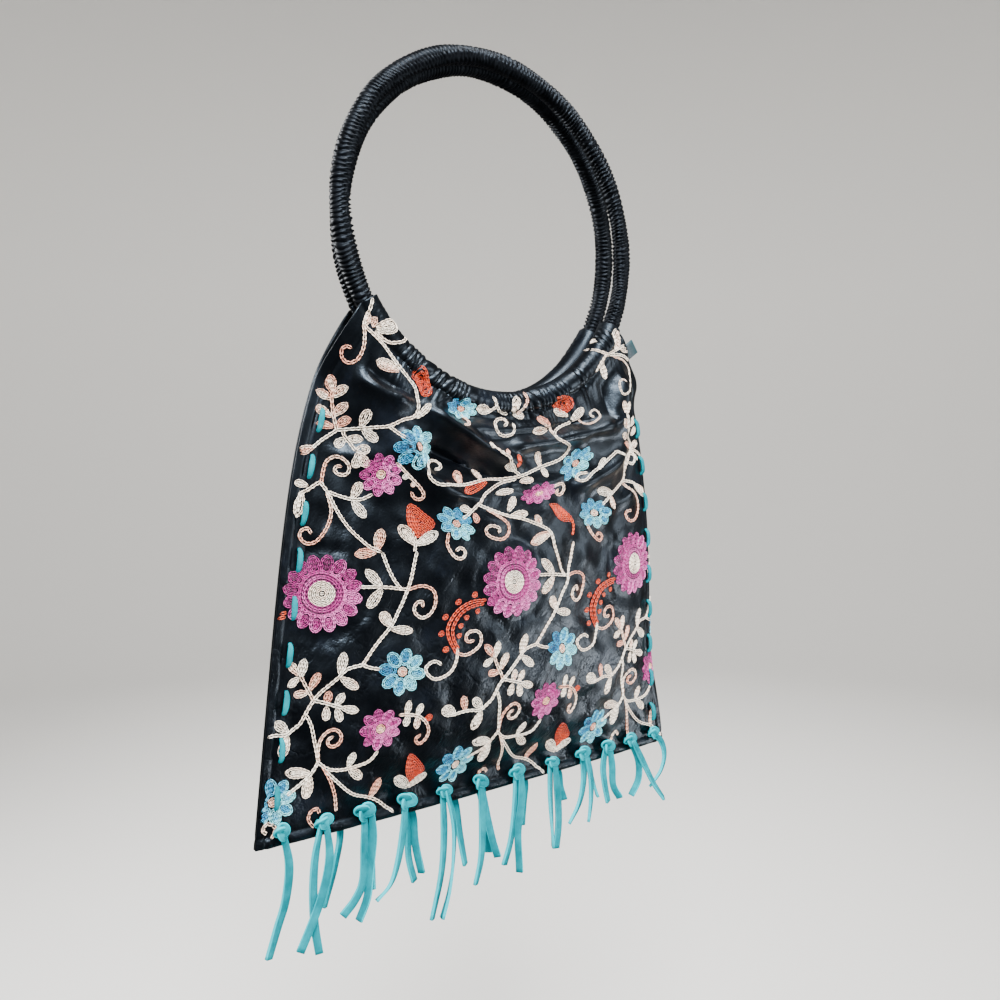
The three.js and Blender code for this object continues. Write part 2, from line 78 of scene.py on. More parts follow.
# Sizes in millimetres, radians and shares: the front faces -Y, and the origin is the hanging point
FRONT = -1
BACK = 1
RING_RADIUS = 94.75
RING_CENTRE_DEPTH = 89.5
RING_SPREAD_AT_TOP = 11.5
RING_TILT = math.radians(2.2)
RING_SHIFT = {FRONT: 0.0, BACK: 7.0}
RING_SPIN = {FRONT: 0.0, BACK: math.radians(2.5)}
LEATHER = 1.4
PANEL_GAP = 0.3
BOTTOM_HALF = 139.0
BOTTOM_Z = -400.6
BOTTOM_SAG = 1.6
BOTTOM_TILT = 1.6
SIDE_STRAIGHT = 0.55
SIDE_TURN_IN = (6.0, 9.0)
SEAM_BAND = 14.0
BELLY = {FRONT: 22.0, BACK: 7.0}
BELLY_RISE = 0.28
BELLY_FALL = 0.5
MOUTH_AT_SIDE = 0.85
MOUTH_AT_MIDDLE = 0.35
FORWARD_BY = 9.5
FORWARD_REACH = 75.0
FORWARD_HEIGHTS = (-395.0, -240.0)
FORWARD_FROM_RING = (9.0, 30.0)
CASING_MIDDLE = 6.55
CASING_COVER = math.radians(61)
CASING_LEAVES_AT = math.radians(45)
CASING_ROLL = math.radians(292)
FOLD_CREST = 1.6
FOLD_REACH = 0.62
FOLD_STEPS = 14
FOLD_STARTS = (-0.1, 0.2)
FOLD_STOPS = (0.7, 1.1)
FOLDS_FULL_AT = 0.3
FOLDS_END_AT = 0.93
CURL_BAND = 16.0
CURL_TURN = 0.85
CURL_FROM = (-395.0, -330.0)
CURL_ENDS = (-185.0, -160.0)

# Folds of the front panel: from x, z, by x, z, to x, z, height of the ridge, half width
FRONT_FOLDS = [
    (-36, -194, 0, -203, 36, -193, 5.0, 4.2),
    (-52, -186, -28, -206, 10, -219, 9.0, 4.8),
    (-6, -208, 42, -205, 90, -188, 6.5, 4.8),
    (-64, -198, -60, -234, -14, -236, 7.0, 6.2),
    (82, -160, 94, -185, 84, -206, 5.0, 8.5),
    (42, -230, 72, -225, 96, -203, 6.5, 6.0),
    (-94, -168, -78, -184, -58, -186, 6.5, 6.2),
    (-54, -206, -28, -218, 0, -228, -7.0, 5.0),
    (66, -165, 76, -178, 74, -198, -3.5, 6.5),
    (-30, -190, 0, -194, 34, -188, -2.6, 2.4),
    (-4, -200, 30, -199, 70, -188, -3.0, 2.8),
    (-12, -227, 22, -231, 46, -222, 2.6, 3.8),
    (-30, -244, 0, -252, 34, -243, 2.4, 5.0),
    (58, -250, 84, -246, 108, -226, 2.6, 5.0),
    (-110, -205, -96, -214, -78, -212, 2.2, 5.0),
    (-84, -168, -70, -180, -52, -184, -2.6, 2.8),
]
# Folds of the back panel, with the same columns
BACK_FOLDS = [
    (-48, -200, 4, -214, 54, -198, 3.2, 6.0),
    (-70, -190, -40, -222, 18, -232, 3.0, 7.0),
    (18, -226, 60, -218, 88, -186, 2.8, 7.0),
    (-30, -206, 4, -208, 40, -205, -1.6, 3.4),
    (-60, -232, 0, -252, 64, -236, 1.6, 8.0),
]

# Tassels: the hole's x, the knot's width and height, and the hanging ends as depth y and (x, z) points
TASSELS = [
    (-127, 8.5, 8.5, [
        (-4.6, [(-127, -393), (-123.5, -411), (-125.5, -428), (-130, -441), (-134.5, -455)]),
    ]),
    (-105, 10.5, 6.5, [
        (-4.2, [(-105.5, -394), (-109.5, -411), (-111, -428), (-110.5, -445), (-108, -461)]),
        (-5.8, [(-104.5, -394), (-102.5, -411), (-105, -425), (-110, -438), (-119, -456)]),
        (4.2, [(-100, -394), (-92, -404), (-95, -424), (-101, -443)]),
    ]),
    (-82.5, 12, 9.5, [
        (-4.4, [(-82, -394), (-82.5, -412), (-83.5, -430), (-88, -439), (-95, -446)]),
        (-5.8, [(-79, -394), (-78, -408), (-80, -425), (-82, -439), (-87, -450)]),
        (4.2, [(-79, -394), (-75, -412), (-74, -428), (-73.5, -441)]),
    ]),
    (-57.5, 12, 9, [
        (-4.8, [(-58, -394), (-60, -412), (-63.5, -427), (-68, -437), (-76, -443.5)]),
        (4.0, [(-56, -394), (-52, -412), (-51.5, -429), (-48, -444)]),
        (5.2, [(-54, -394), (-48, -408), (-46.5, -424), (-43, -441)]),
    ]),
    (-34, 9.5, 6.5, [
        (-4.2, [(-34.5, -394), (-34, -418), (-36, -440), (-41.8, -464)]),
        (-5.8, [(-33, -394), (-28.5, -414), (-29, -434), (-32, -450), (-36.8, -464)]),
        (4.2, [(-31, -394), (-22, -404), (-18, -425), (-14.5, -444)]),
    ]),
    (-10, 10, 8.5, [
        (-5.2, [(-10, -394), (-9, -414), (-10, -436), (-14, -452)]),
        (-4.0, [(-9, -394), (-5.5, -414), (-1.5, -430), (2.5, -441)]),
        (4.2, [(-8, -394), (-2, -412), (0.5, -428), (2, -441)]),
    ]),
    (15.5, 10.5, 8.5, [
        (-4.2, [(15.5, -394), (14.5, -414), (11.5, -433), (7, -447)]),
        (-5.6, [(18, -394), (18.5, -411), (15.5, -430), (16.5, -453)]),
        (4.2, [(18, -394), (28, -404), (27.5, -418), (26, -431)]),
    ]),
    (42, 9.5, 6, [
        (-4.2, [(41, -394), (41, -414), (42, -432), (43.5, -446)]),
        (-5.6, [(43.5, -394), (45.5, -412), (46, -430), (44, -446)]),
        (4.2, [(46, -394), (54, -404), (56, -414), (59, -423)]),
    ]),
    (66, 11, 8, [
        (-4.2, [(66, -393), (67.5, -408), (64, -423), (56, -435)]),
        (-5.6, [(68, -393), (72, -408), (72, -422), (70, -436)]),
        (4.2, [(70, -393), (78, -403), (82.5, -415), (86.5, -427)]),
    ]),
    (87, 10, 8.5, [
        (-4.2, [(86, -393), (83.5, -406), (85, -418), (88, -428.5)]),
        (-5.6, [(88, -393), (90, -406), (90.5, -418), (96, -427)]),
    ]),
    (106, 9.5, 8, [
        (-4.2, [(106, -393), (113.5, -406), (114, -419), (108, -429)]),
        (-6.8, [(107, -393), (116, -408), (125.5, -424), (134, -435.5)]),
    ]),
    (127, 8.5, 7.5, [
        (-3.6, [(127.5, -392), (135.5, -399), (138.5, -409), (135, -419), (126, -427)]),
    ]),
]
# Lower repeats of the embroidery, as x and z shifts, and its large flowers, which pucker the leather
TILE_SHIFTS = [(1, -0.8), (103, -0.8), (205, 1.6)]
ASTER_X = -105.5
ASTER_Z = -279.8
ASTER_RIM = 22.5


# Small helpers
def smooth(value, low, high):
    """Eased step: 0 below low, 1 above high, and three squares less two cubes of the share between."""
    share = np.clip((value - low) / (high - low), 0, 1)
    return share * share * (3 - 2 * share)


def mix(start, end, share):
    """Straight blend from start to end."""
    return start + (end - start) * share


def unit(vectors):
    """Vectors of length one."""
    return vectors / np.maximum(np.linalg.norm(vectors, axis=-1, keepdims=True), 1e-9)


def bump(distance, width):
    """Bell curve: e to the minus square of distance over width."""
    return np.exp(-((distance / width) ** 2))


def humps(phase, power):
    """Rounded humps, one to each whole step of the phase: a power of the size of a sine."""
    return np.abs(np.sin(math.pi * phase)) ** power


def waves(place, side, rows):
    """Sum of sine waves along a place: a row gives a height, a rate, a start and what the side adds to it."""
    total = np.zeros_like(place)
    for height, rate, start, by_side in rows:
        total += height * np.sin(rate * place + start + by_side * side)
    return total


def half_turn(angle):
    """The same angle, between minus and plus half a turn."""
    return (angle + math.pi) % (2 * math.pi) - math.pi


def turned(first, second, angle):
    """Two ways at right angles, turned in their plane: the cosine of each, less or plus the other's sine."""
    cosine, sine = math.cos(angle), math.sin(angle)
    return first * cosine - second * sine, second * cosine + first * sine


def smooth_path(points, steps):
    """Catmull-Rom curve through points, steps to each span: the usual cubic blend of four neighbours."""
    points = np.asarray(points, float)
    first = 2 * points[:1] - points[1:2]
    last = 2 * points[-1:] - points[-2:-1]
    padded = np.concatenate([first, points, last])
    share = (np.arange(steps) / steps)[None, :, None]
    a, b, c, d = (padded[k:len(padded) - 3 + k][:, None] for k in range(4))
    curve = 0.5 * (2 * b + (c - a) * share + (2 * a - 5 * b + 4 * c - d) * share ** 2
                   + (3 * b - a - 3 * c + d) * share ** 3)
    return np.concatenate([curve.reshape(-1, points.shape[1]), points[-1:]])


def evenly(path, step):
    """The path again, as points an even length apart, near to step."""
    lengths = np.concatenate([[0], np.cumsum(np.linalg.norm(np.diff(path, axis=0), axis=1))])
    count = max(2, int(round(lengths[-1] / step)))
    places = np.linspace(0, lengths[-1], count + 1)
    return np.stack([np.interp(places, lengths, column) for column in path.T], axis=1)


# Meshes
def grid_quads(rows, columns, wrap_rows=False, wrap_columns=False):
    """Quads between neighbouring points of a grid that is stored row by row."""
    row = np.arange(rows if wrap_rows else rows - 1)[:, None]
    column = np.arange(columns if wrap_columns else columns - 1)[None, :]
    next_row = (row + 1) % rows
    next_column = (column + 1) % columns
    corners = [row * columns + column, row * columns + next_column,
               next_row * columns + next_column, next_row * columns + column]
    return np.stack(np.broadcast_arrays(*corners), axis=-1).reshape(-1, 4)


def add_piece(name, points, quads, finish, triangles=None, values=None):
    """Makes a mesh object of points in millimetres, quads and triangles, and lets it ride on the bag."""
    triangles = np.zeros((0, 3), int) if triangles is None else triangles
    corners = np.concatenate([quads.ravel(), triangles.ravel()])
    sizes = np.concatenate([np.full(len(quads), 4), np.full(len(triangles), 3)])
    starts = np.cumsum(sizes) - sizes
    mesh = bpy.data.meshes.new(name)
    mesh.vertices.add(len(points))
    mesh.vertices.foreach_set("co", (points * MM).astype(np.float32).ravel())
    mesh.loops.add(len(corners))
    mesh.loops.foreach_set("vertex_index", corners.astype(np.int32))
    mesh.polygons.add(len(sizes))
    mesh.polygons.foreach_set("loop_start", starts.astype(np.int32))
    mesh.polygons.foreach_set("use_smooth", np.ones(len(sizes), bool))
    for attribute, numbers in (values or {}).items():
        layer = mesh.attributes.new(attribute, "FLOAT", "POINT")
        layer.data.foreach_set("value", numbers.astype(np.float32))
    mesh.update(calc_edges=True)
    mesh.materials.append(finish)
    piece = bpy.data.objects.new(name, mesh)
    bpy.context.scene.collection.objects.link(piece)
    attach(piece, "root")
    return piece


def thicken(piece, thickness):
    """Gives a sheet its thickness, half to each side."""
    wall = piece.modifiers.new("thickness", "SOLIDIFY")
    wall.thickness = thickness * MM
    wall.offset = 0
    wall.use_even_offset = False


# Section of a strip: the cut of its corners, the crown of its flat sides, and its edge value beside the edges
# for the painted edge highlight
CORNER_CUT = 0.35
CROWN = 1.06
EDGE_HIGHLIGHT_FADE = 0.25


def strip_section(half_wide, half_thick, soft):
    """Flat section with soft corners: two points to a corner, and one in the middle of each side, crowned on
    the flat sides. Its third row says which points lie on the thin cut edges."""
    near = 1 - soft * CORNER_CUT
    low = 1 - soft
    wide = np.array([1, 1, 1, near, 0, -near, -1, -1, -1, -near, 0, near])
    thick = np.array([-low, 0, low, 1, CROWN, 1, low, 0, -low, -1, -CROWN, -1])
    edge = np.array([1, 1, 1, EDGE_HIGHLIGHT_FADE, 0, EDGE_HIGHLIGHT_FADE, 1, 1, 1, EDGE_HIGHLIGHT_FADE, 0, EDGE_HIGHLIGHT_FADE])
    return half_wide * wide, half_thick * thick, edge


def sweep(path, wide_way, section, closed=False, girth=1.0):
    """Carries a flat section along a path: each section lies across the path's direction, with its
    width, times girth, along wide_way. Returns points, quads, end triangles and the section's edge values."""
    wide, thick, edge = section
    ahead = np.roll(path, -1, 0) - np.roll(path, 1, 0) if closed else np.gradient(path, axis=0)
    ahead = unit(ahead)
    wide_way = unit(wide_way - ahead * np.sum(wide_way * ahead, axis=-1, keepdims=True))
    thick_way = np.cross(ahead, wide_way)
    reach = np.broadcast_to(girth, len(path))[:, None] * wide
    points = path[:, None] + wide_way[:, None] * reach[..., None] + thick_way[:, None] * thick[None, :, None]
    rows, sides = len(path), len(wide)
    quads = grid_quads(rows, sides, wrap_rows=closed, wrap_columns=True)
    fan = np.zeros((0, 3), int)
    if not closed:
        side = np.arange(1, sides - 1)
        start = np.stack([np.zeros_like(side), side + 1, side], axis=1)
        end = np.stack([np.zeros_like(side), side, side + 1], axis=1) + (rows - 1) * sides
        fan = np.concatenate([start, end])
    return points.reshape(-1, 3), quads, fan, np.tile(edge, rows)


def joined(parts):
    """Several swept strips as one set of points, quads, triangles and edge values."""
    points, quads, fans, edges = zip(*parts)
    starts = np.cumsum([0] + [len(part) for part in points[:-1]])
    return (
        np.concatenate(points),
        np.concatenate([quad + start for quad, start in zip(quads, starts)]),
        np.concatenate([fan + start for fan, start in zip(fans, starts)]),
        np.concatenate(edges),
    )


# Finishes: the crinkles' length to width and lean, and the creasing's strength from one height to another
STREAK = 3.2
CRINKLE_LEAN = math.radians(36)
WEAR = {"low": 0.6, "high": 0.07, "start": -0.33, "end": -0.22}


def colour(text):
    """A hexadecimal screen colour as linear red, green, blue and alpha."""
    screen = np.array([int(text[k:k + 2], 16) / 255 for k in (0, 2, 4)])
    linear = np.where(screen <= 0.04045, screen / 12.92, ((screen + 0.055) / 1.055) ** 2.4)
    return (*linear, 1.0)


def add_node(tree, kind, inputs=None, **settings):
    """Adds a node, sets its settings, and gives each input a value or a link."""
    node = tree.nodes.new(kind)
    for name, value in settings.items():
        setattr(node, name, value)
    for name, value in (inputs or {}).items():
        if isinstance(value, bpy.types.NodeSocket):
            tree.links.new(value, node.inputs[name])
        else:
            node.inputs[name].default_value = value
    return node


def add_ramp(tree, factor, stops):
    """Colours at places along a factor, blended between."""
    node = add_node(tree, "ShaderNodeValToRGB", {"Fac": factor})
    ramp = node.color_ramp
    while len(ramp.elements) < len(stops):
        ramp.elements.new(0.5)
    for element, (place, shade) in zip(ramp.elements, stops):
        element.position = place
        element.color = colour(shade)
    return node.outputs["Color"]


def add_noise(tree, scale, detail=3.0, roughness=0.55, lean=None):
    """Noise on the piece's own coordinates: scale is in repeats to a metre. With a lean it is drawn out into
    streaks that lean to the right of upright by that angle."""
    place = add_node(tree, "ShaderNodeTexCoord").outputs["Object"]
    if lean is not None:
        inputs = {"Vector": place, "Rotation": (0, lean, 0), "Scale": (1, 1, STREAK)}
        place = add_node(tree, "ShaderNodeMapping", inputs, vector_type="TEXTURE").outputs["Vector"]
    inputs = {"Vector": place, "Scale": scale, "Detail": detail, "Roughness": roughness}
    return add_node(tree, "ShaderNodeTexNoise", inputs).outputs["Fac"]


def spread(tree, factor, low, high, start=0.3, end=0.7):
    """Stretches a factor from the range start to end on to the range low to high."""
    inputs = {"Value": factor, "From Min": start, "From Max": end, "To Min": low, "To Max": high}
    return add_node(tree, "ShaderNodeMapRange", inputs).outputs["Result"]


def add_bump(tree, height, depth, strength, under=None):
    """Bump of a height factor, depth in millimetres, on top of another bump."""
    inputs = {"Height": height, "Distance": depth * MM, "Strength": strength}
    if under is not None:
        inputs["Normal"] = under
    return add_node(tree, "ShaderNodeBump", inputs).outputs["Normal"]


def new_finish(name, constants):
    """A material with its constant values on the shader's own sockets."""
    material = bpy.data.materials.new(name)
    material.use_nodes = True
    shader = material.node_tree.nodes["Principled BSDF"]
    for socket, value in constants.items():
        shader.inputs[socket].default_value = value
    return material, material.node_tree, shader


def dress(tree, shader, **links):
    """Links outputs to the shader's sockets, named with underscores for spaces."""
    for socket, output in links.items():
        tree.links.new(output, shader.inputs[socket.replace("_", " ")])


def add_value(tree, name):
    """The value of that name that the piece has at each point."""
    return add_node(tree, "ShaderNodeAttribute", attribute_name=name).outputs["Fac"]


def add_mix(tree, share, start, end):
    """Straight blend of two colours."""
    inputs = {"Factor": share, "A": start, "B": end}
    return add_node(tree, "ShaderNodeMix", inputs, data_type="RGBA").outputs["Result"]


def leather_finish():
    """Black leather: a cloudy blue-grey painted sheen in its colour and an uneven satin gloss over a small
    pebbled grain, with broad swells, leaning crinkles and fine creases that are strongest in the worn lower
    part."""
    constants = {"Specular IOR Level": 0.3, "Specular Tint": (0.62, 0.8, 1.0, 1.0)}
    material, tree, shader = new_finish("black_leather", constants)
    # painted sheen: a noise mixes the near-black colour towards a cloudy blue-grey
    painted_sheen_cloud = add_noise(tree, scale=40.0, detail=6.0, roughness=0.66)
    shade = add_ramp(tree, painted_sheen_cloud, [(0.36, "010102"), (0.54, "030406"), (0.74, "0c1018")])
    mottle = add_noise(tree, scale=95.0, detail=5.0, roughness=0.6)
    gloss = spread(tree, mottle, low=0.27, high=0.43)
    place = add_node(tree, "ShaderNodeTexCoord").outputs["Object"]
    grain = add_node(tree, "ShaderNodeTexVoronoi", {"Vector": place, "Scale": 950.0}).outputs["Distance"]
    height = add_node(tree, "ShaderNodeSeparateXYZ", {"Vector": place}).outputs["Z"]
    worn = spread(tree, height, **WEAR)
    broad = add_noise(tree, scale=32.0, detail=2.0, roughness=0.5)
    swells = add_bump(tree, broad, depth=6.0, strength=worn)
    streaks = add_noise(tree, scale=170.0, detail=7.0, roughness=0.62, lean=CRINKLE_LEAN)
    crinkles = add_bump(tree, streaks, depth=1.2, strength=worn, under=swells)
    middle = add_noise(tree, scale=42.0, detail=4.0, roughness=0.6)
    level = add_node(tree, "ShaderNodeMath", {0: middle, 1: 0.5}, operation="SUBTRACT").outputs[0]
    valley = add_node(tree, "ShaderNodeMath", {0: level}, operation="ABSOLUTE").outputs[0]
    narrow = spread(tree, valley, low=0, high=1, start=0, end=0.05)
    creases = add_bump(tree, narrow, depth=0.3, strength=worn, under=crinkles)
    pebbles = add_bump(tree, grain, depth=0.14, strength=0.34, under=creases)
    dress(tree, shader, Base_Color=shade, Roughness=gloss, Normal=pebbles)
    return material


def binding_finish():
    """Black waxed cord: nearly black, glossy in patches, with fine fibres."""
    constants = {"Specular IOR Level": 0.13, "Specular Tint": (0.64, 0.8, 1.0, 1.0)}
    material, tree, shader = new_finish("bound_cord", constants)
    shade = add_ramp(tree, add_noise(tree, scale=160.0), [(0.35, "020203"), (0.7, "0a0b0e")])
    gloss = spread(tree, add_noise(tree, scale=320.0), low=0.34, high=0.5)
    fibres = add_bump(tree, add_noise(tree, scale=2200.0), depth=0.12, strength=0.4)
    dress(tree, shader, Base_Color=shade, Roughness=gloss, Normal=fibres)
    return material


def suede_finish():
    """Turquoise suede: a soft uneven nap, with a painted highlight on its cut edges, paler where the edge
    value is high.
    """
    constants = {"Specular IOR Level": 0.04, "Roughness": 0.92}
    material, tree, shader = new_finish("turquoise_suede", constants)
    stops = [(0.3, "006069"), (0.5, "00727d"), (0.72, "00848e")]
    patches = add_ramp(tree, add_noise(tree, scale=110.0, detail=4.0), stops)
    share = spread(tree, add_value(tree, "edge"), low=0.0, high=0.8, start=0.2, end=1.0)
    # painted highlight: the cut edges are mixed towards a pale cyan
    shade = add_mix(tree, share, patches, colour("0cb8c6"))
    nap = add_bump(tree, add_noise(tree, scale=2600.0, detail=2.0), depth=0.25, strength=0.55)
    dress(tree, shader, Base_Color=shade, Normal=nap)
    return material


def thread_finish(name, stops):
    """Embroidery thread: its dye shifts along its length by the tone value, with a soft silky shine."""
    constants = {
        "Roughness": 0.55,
        "Sheen Weight": 0.12,
        "Sheen Roughness": 0.5,
        "Specular IOR Level": 0.28,
    }
    material, tree, shader = new_finish(name, constants)
    shade = add_ramp(tree, add_value(tree, "tone"), stops)
    fibres = add_bump(tree, add_noise(tree, scale=3200.0, detail=2.0), depth=0.12, strength=0.5)
    dress(tree, shader, Base_Color=shade, Normal=fibres)
    return material


def label_finish():
    """Plain woven ribbon: grey with a fine rib, and a dark line where the edge value is high."""
    material, tree, shader = new_finish("woven_label", {"Roughness": 0.7, "Specular IOR Level": 0.25})
    weave = add_ramp(tree, add_noise(tree, scale=900.0), [(0.35, "39434a"), (0.65, "56626a")])
    shade = add_mix(tree, add_value(tree, "edge"), weave, colour("23484f"))
    ribs = add_bump(tree, add_noise(tree, scale=1800.0), depth=0.1, strength=0.4)
    dress(tree, shader, Base_Color=shade, Normal=ribs)
    return material


# Dyes of the threads: colours at places along the tone
DYES = {
    "ivory": [(0.0, "fff4e2"), (0.4, "fde6d0"), (0.72, "f0ab8e"), (1.0, "e08a76")],
    "coral": [(0.0, "dc4c16"), (0.5, "c03206"), (1.0, "901a02")],
    "orchid": [(0.0, "de6cb4"), (0.4, "a41a76"), (1.0, "68064a")],
    "sky": [(0.0, "84e0ec"), (0.45, "0a90be"), (1.0, "044f7c")],
}
black_leather = leather_finish()
bound_cord = binding_finish()
turquoise_suede = suede_finish()
woven_label = label_finish()
THREADS = {name: thread_finish(f"{name}_thread", stops) for name, stops in DYES.items()}


# Shape of the leather
def ring_point(side, angle, distance, turn):
    """A point beside a ring's centre line: round the ring by angle from its lowest point, then out by
    distance, turned from straight away from the ring's middle towards the bag's outside. The back ring is
    shifted to the right, and its plane is turned a little about the upright."""
    spin = RING_SPIN[side]
    sideways = np.array([math.cos(spin), math.sin(spin), 0])
    backward = np.array([-math.sin(spin), math.cos(spin), 0])
    upward = np.array([0, 0, 1.0])
    down = backward * side * math.sin(RING_TILT) - upward * math.cos(RING_TILT)
    out = backward * side * math.cos(RING_TILT) + upward * math.sin(RING_TILT)
    hang = np.array([RING_SHIFT[side], side * RING_SPREAD_AT_TOP / 2, 0])
    centre = hang + down * RING_CENTRE_DEPTH
    angle, distance, turn = np.broadcast_arrays(angle, distance, turn)
    radial = np.sin(angle)[..., None] * sideways + np.cos(angle)[..., None] * down
    reach = RING_RADIUS + distance * np.cos(turn)
    return centre + radial * reach[..., None] + out * (distance * np.sin(turn))[..., None]


def fold_height(folds, x, z):
    """Sum over the folds of a falling exponential of the distance to each fold's line, with a rounded crest,
    that eases off towards the line's ends. The line is a parabola from its first to its third point."""
    height = np.zeros_like(x)
    share = np.linspace(0, 1, FOLD_STEPS + 1)[:, None]
    for row in folds:
        start, by, end = np.array(row[:6], float).reshape(3, 2)
        ridge, half_width = row[6:]
        line = (1 - share) ** 2 * start + 2 * share * (1 - share) * by + share ** 2 * end
        nearest = np.full_like(x, np.inf)
        place = np.zeros_like(x)
        for number, (a, b) in enumerate(zip(line[:-1], line[1:])):
            span = b - a
            along = np.clip(((x - a[0]) * span[0] + (z - a[1]) * span[1]) / (span @ span), 0, 1)
            gap = np.hypot(x - a[0] - along * span[0], z - a[1] - along * span[1])
            place = np.where(gap < nearest, (number + along) / FOLD_STEPS, place)
            nearest = np.minimum(nearest, gap)
        eased = smooth(place, *FOLD_STARTS) * (1 - smooth(place, *FOLD_STOPS))
        from_crest = np.hypot(nearest, FOLD_CREST) - FOLD_CREST
        height += eased * ridge * np.exp(-from_crest / (FOLD_REACH * half_width))
    return height


def bottom_edge(across):
    """Height of the bottom edge: a little tilt, and a parabola of sag."""
    return BOTTOM_Z + BOTTOM_TILT * across - BOTTOM_SAG * (1 - across ** 2)


def in_from_side(across):
    """0 on the flat side border and 1 in the middle, as a parabola."""
    border = SEAM_BAND / BOTTOM_HALF
    return 1 - np.minimum(1, np.abs(across) / (1 - border)) ** 2


def side_taper(across, up):
    """How far the side has come in from the bottom edge's width to the casing's: even, and a power."""
    turn_in = mix(*SIDE_TURN_IN, (across + 1) / 2)
    return SIDE_STRAIGHT * up + (1 - SIDE_STRAIGHT) * np.maximum(0, up) ** turn_in


def parting(across, up):
    """0 where the panels lie together and 1 at the casing: an eased step that starts lower in the middle."""
    return smooth(up, mix(MOUTH_AT_SIDE, MOUTH_AT_MIDDLE, in_from_side(across)), 1)


def casing_top(side, across):
    """The points where hanging leather meets the casing."""
    return ring_point(side, across * CASING_COVER, CASING_MIDDLE, CASING_LEAVES_AT)


def share_up(across, top, z):
    """How far a height is on the way from the bottom edge to the casing, from 0 to 1."""
    bottom = bottom_edge(across)
    return np.clip((z - bottom) / (top[..., 2] - bottom), 0, 1)


def hanging_x(side, across, up, top):
    """The x of hanging leather: from the bottom edge to the casing by the side's taper, with the ring's shift
    added as the panels part."""
    tapered = mix(across * BOTTOM_HALF, top[..., 0] - RING_SHIFT[side], side_taper(across, up))
    return tapered + RING_SHIFT[side] * parting(across, up)


def side_edge(hand, z):
    """The x of the front panel's edge at a height: hand is 1 for the right edge and -1 for the left."""
    top = casing_top(FRONT, np.array(hand))
    return hanging_x(FRONT, hand, share_up(hand, top, z), top)


def forward(x, z):
    """How far the right side hangs forward: eased steps of the height, of the distance from the ring and
    of the distance from the right border, multiplied."""
    border = side_edge(1, z) - SEAM_BAND
    from_ring = np.hypot(np.minimum(x, border), z + RING_CENTRE_DEPTH) - RING_RADIUS
    share = smooth(z, *FORWARD_HEIGHTS) * smooth(from_ring, *FORWARD_FROM_RING)
    return FORWARD_BY * share * smooth(x, border - FORWARD_REACH, border)


def curled(points):
    """The right border bent backwards: the band inside the right edge follows a circle's arc whose turn
    grows with the place in the band, and each point keeps its distance from the arc."""
    x, y, z = np.moveaxis(points, -1, 0)
    border = side_edge(1, z) - CURL_BAND
    share = np.maximum(0, (x - border) / CURL_BAND)
    turn = CURL_TURN * share * smooth(z, *CURL_FROM) * (1 - smooth(z, *CURL_ENDS))
    level = -forward(x, z)
    run = CURL_BAND * share
    over = np.minimum(x, border) + run * np.sinc(turn / math.pi) - (y - level) * np.sin(turn)
    back = run * np.sin(turn / 2) * np.sinc(turn / (2 * math.pi))
    return np.stack([over, level + back + (y - level) * np.cos(turn), z], axis=-1)


def leather_middle(side, across, travel):
    """Middle of a panel's leather. Up to travel 1 it hangs: x follows the side's taper, z goes evenly, and y
    is the seam's depth parting towards the ring, plus a belly (parabola across, quick rise, slow fall) and
    the folds. The right side then hangs forward and its border curls back. Past 1 the leather rolls evenly
    round the ring's wire."""
    up = np.clip(travel, 0, 1)
    turn = CASING_LEAVES_AT + np.clip(travel - 1, 0, 1) * CASING_ROLL
    rolled = ring_point(side, across * CASING_COVER, CASING_MIDDLE, turn)
    top = casing_top(side, across)
    x = hanging_x(side, across, up, top)
    z = mix(bottom_edge(across), top[..., 2], up)
    inward = in_from_side(across)
    rise = np.clip((up - SEAM_BAND / (top[..., 2] - BOTTOM_Z)) / BELLY_RISE, 0, 1)
    fullness = (1 - (1 - rise) ** 2) * (1 - smooth(up, BELLY_FALL, 1))
    depth = mix((PANEL_GAP + LEATHER) / 2, np.abs(top[..., 1]), parting(across, up))
    depth = depth + BELLY[side] * fullness * inward
    folds = fold_height(FRONT_FOLDS if side == FRONT else BACK_FOLDS, x, z)
    depth = depth + folds * smooth(inward, 0, FOLDS_FULL_AT) * (1 - smooth(up, FOLDS_END_AT, 1))
    hanging = curled(np.stack([x, side * depth - forward(x, z), z], axis=-1))
    return np.where((travel <= 1)[..., None], hanging, rolled)


# Gathers along the casing. Rows of waves give height, rate, start and what the side adds to the start
GATHERS = 26.0
GATHER_HEIGHT = 1.9
GATHER_POWER = 0.65
GATHER_WAVES = [(0.7, 7, 0, 1), (0.45, 19, 0, 0), (0.3, 43, 1, 0)]
GATHER_SLANTS = [(0.085, 5, 0.6, 0)]
GATHER_PATCHES = [(1, 8, 0, 0.9), (0.5, 21, 2, 0)]
GATHER_PATCH_RANGE = (-0.9, 0.8)
GATHER_WEAKEST = 0.15
GATHER_REACH = 6.0
GATHER_STOPS = (9.0, 19.0)
GATHER_SIDES = (0.0, 0.12)
GATHER_LINE = 0.9
GATHER_LINE_WIDTH = 1.5
HANG_LENGTH = 212.0
ROLL_LENGTH = CASING_MIDDLE * CASING_ROLL
# Side welts and bottom hem, which the tassels pinch
WELT_WIDTH = 4.6
WELT_DEPTH = 0.7
WELT_GROOVE = 0.8
WELT_STARTS = (6.0, 20.0)
HEM_WIDTH = 5.2
HEM_GROOVE = 1.0
HEM_PUFF = 1.3
HEM_PUFF_AT = 0.45
HEM_PUFF_WIDTH = 1.9
HEM_PUFF_SIDES = (1.0, 6.0)
HEM_PINCH = 0.8
HEM_PINCH_WIDTH = 4.0
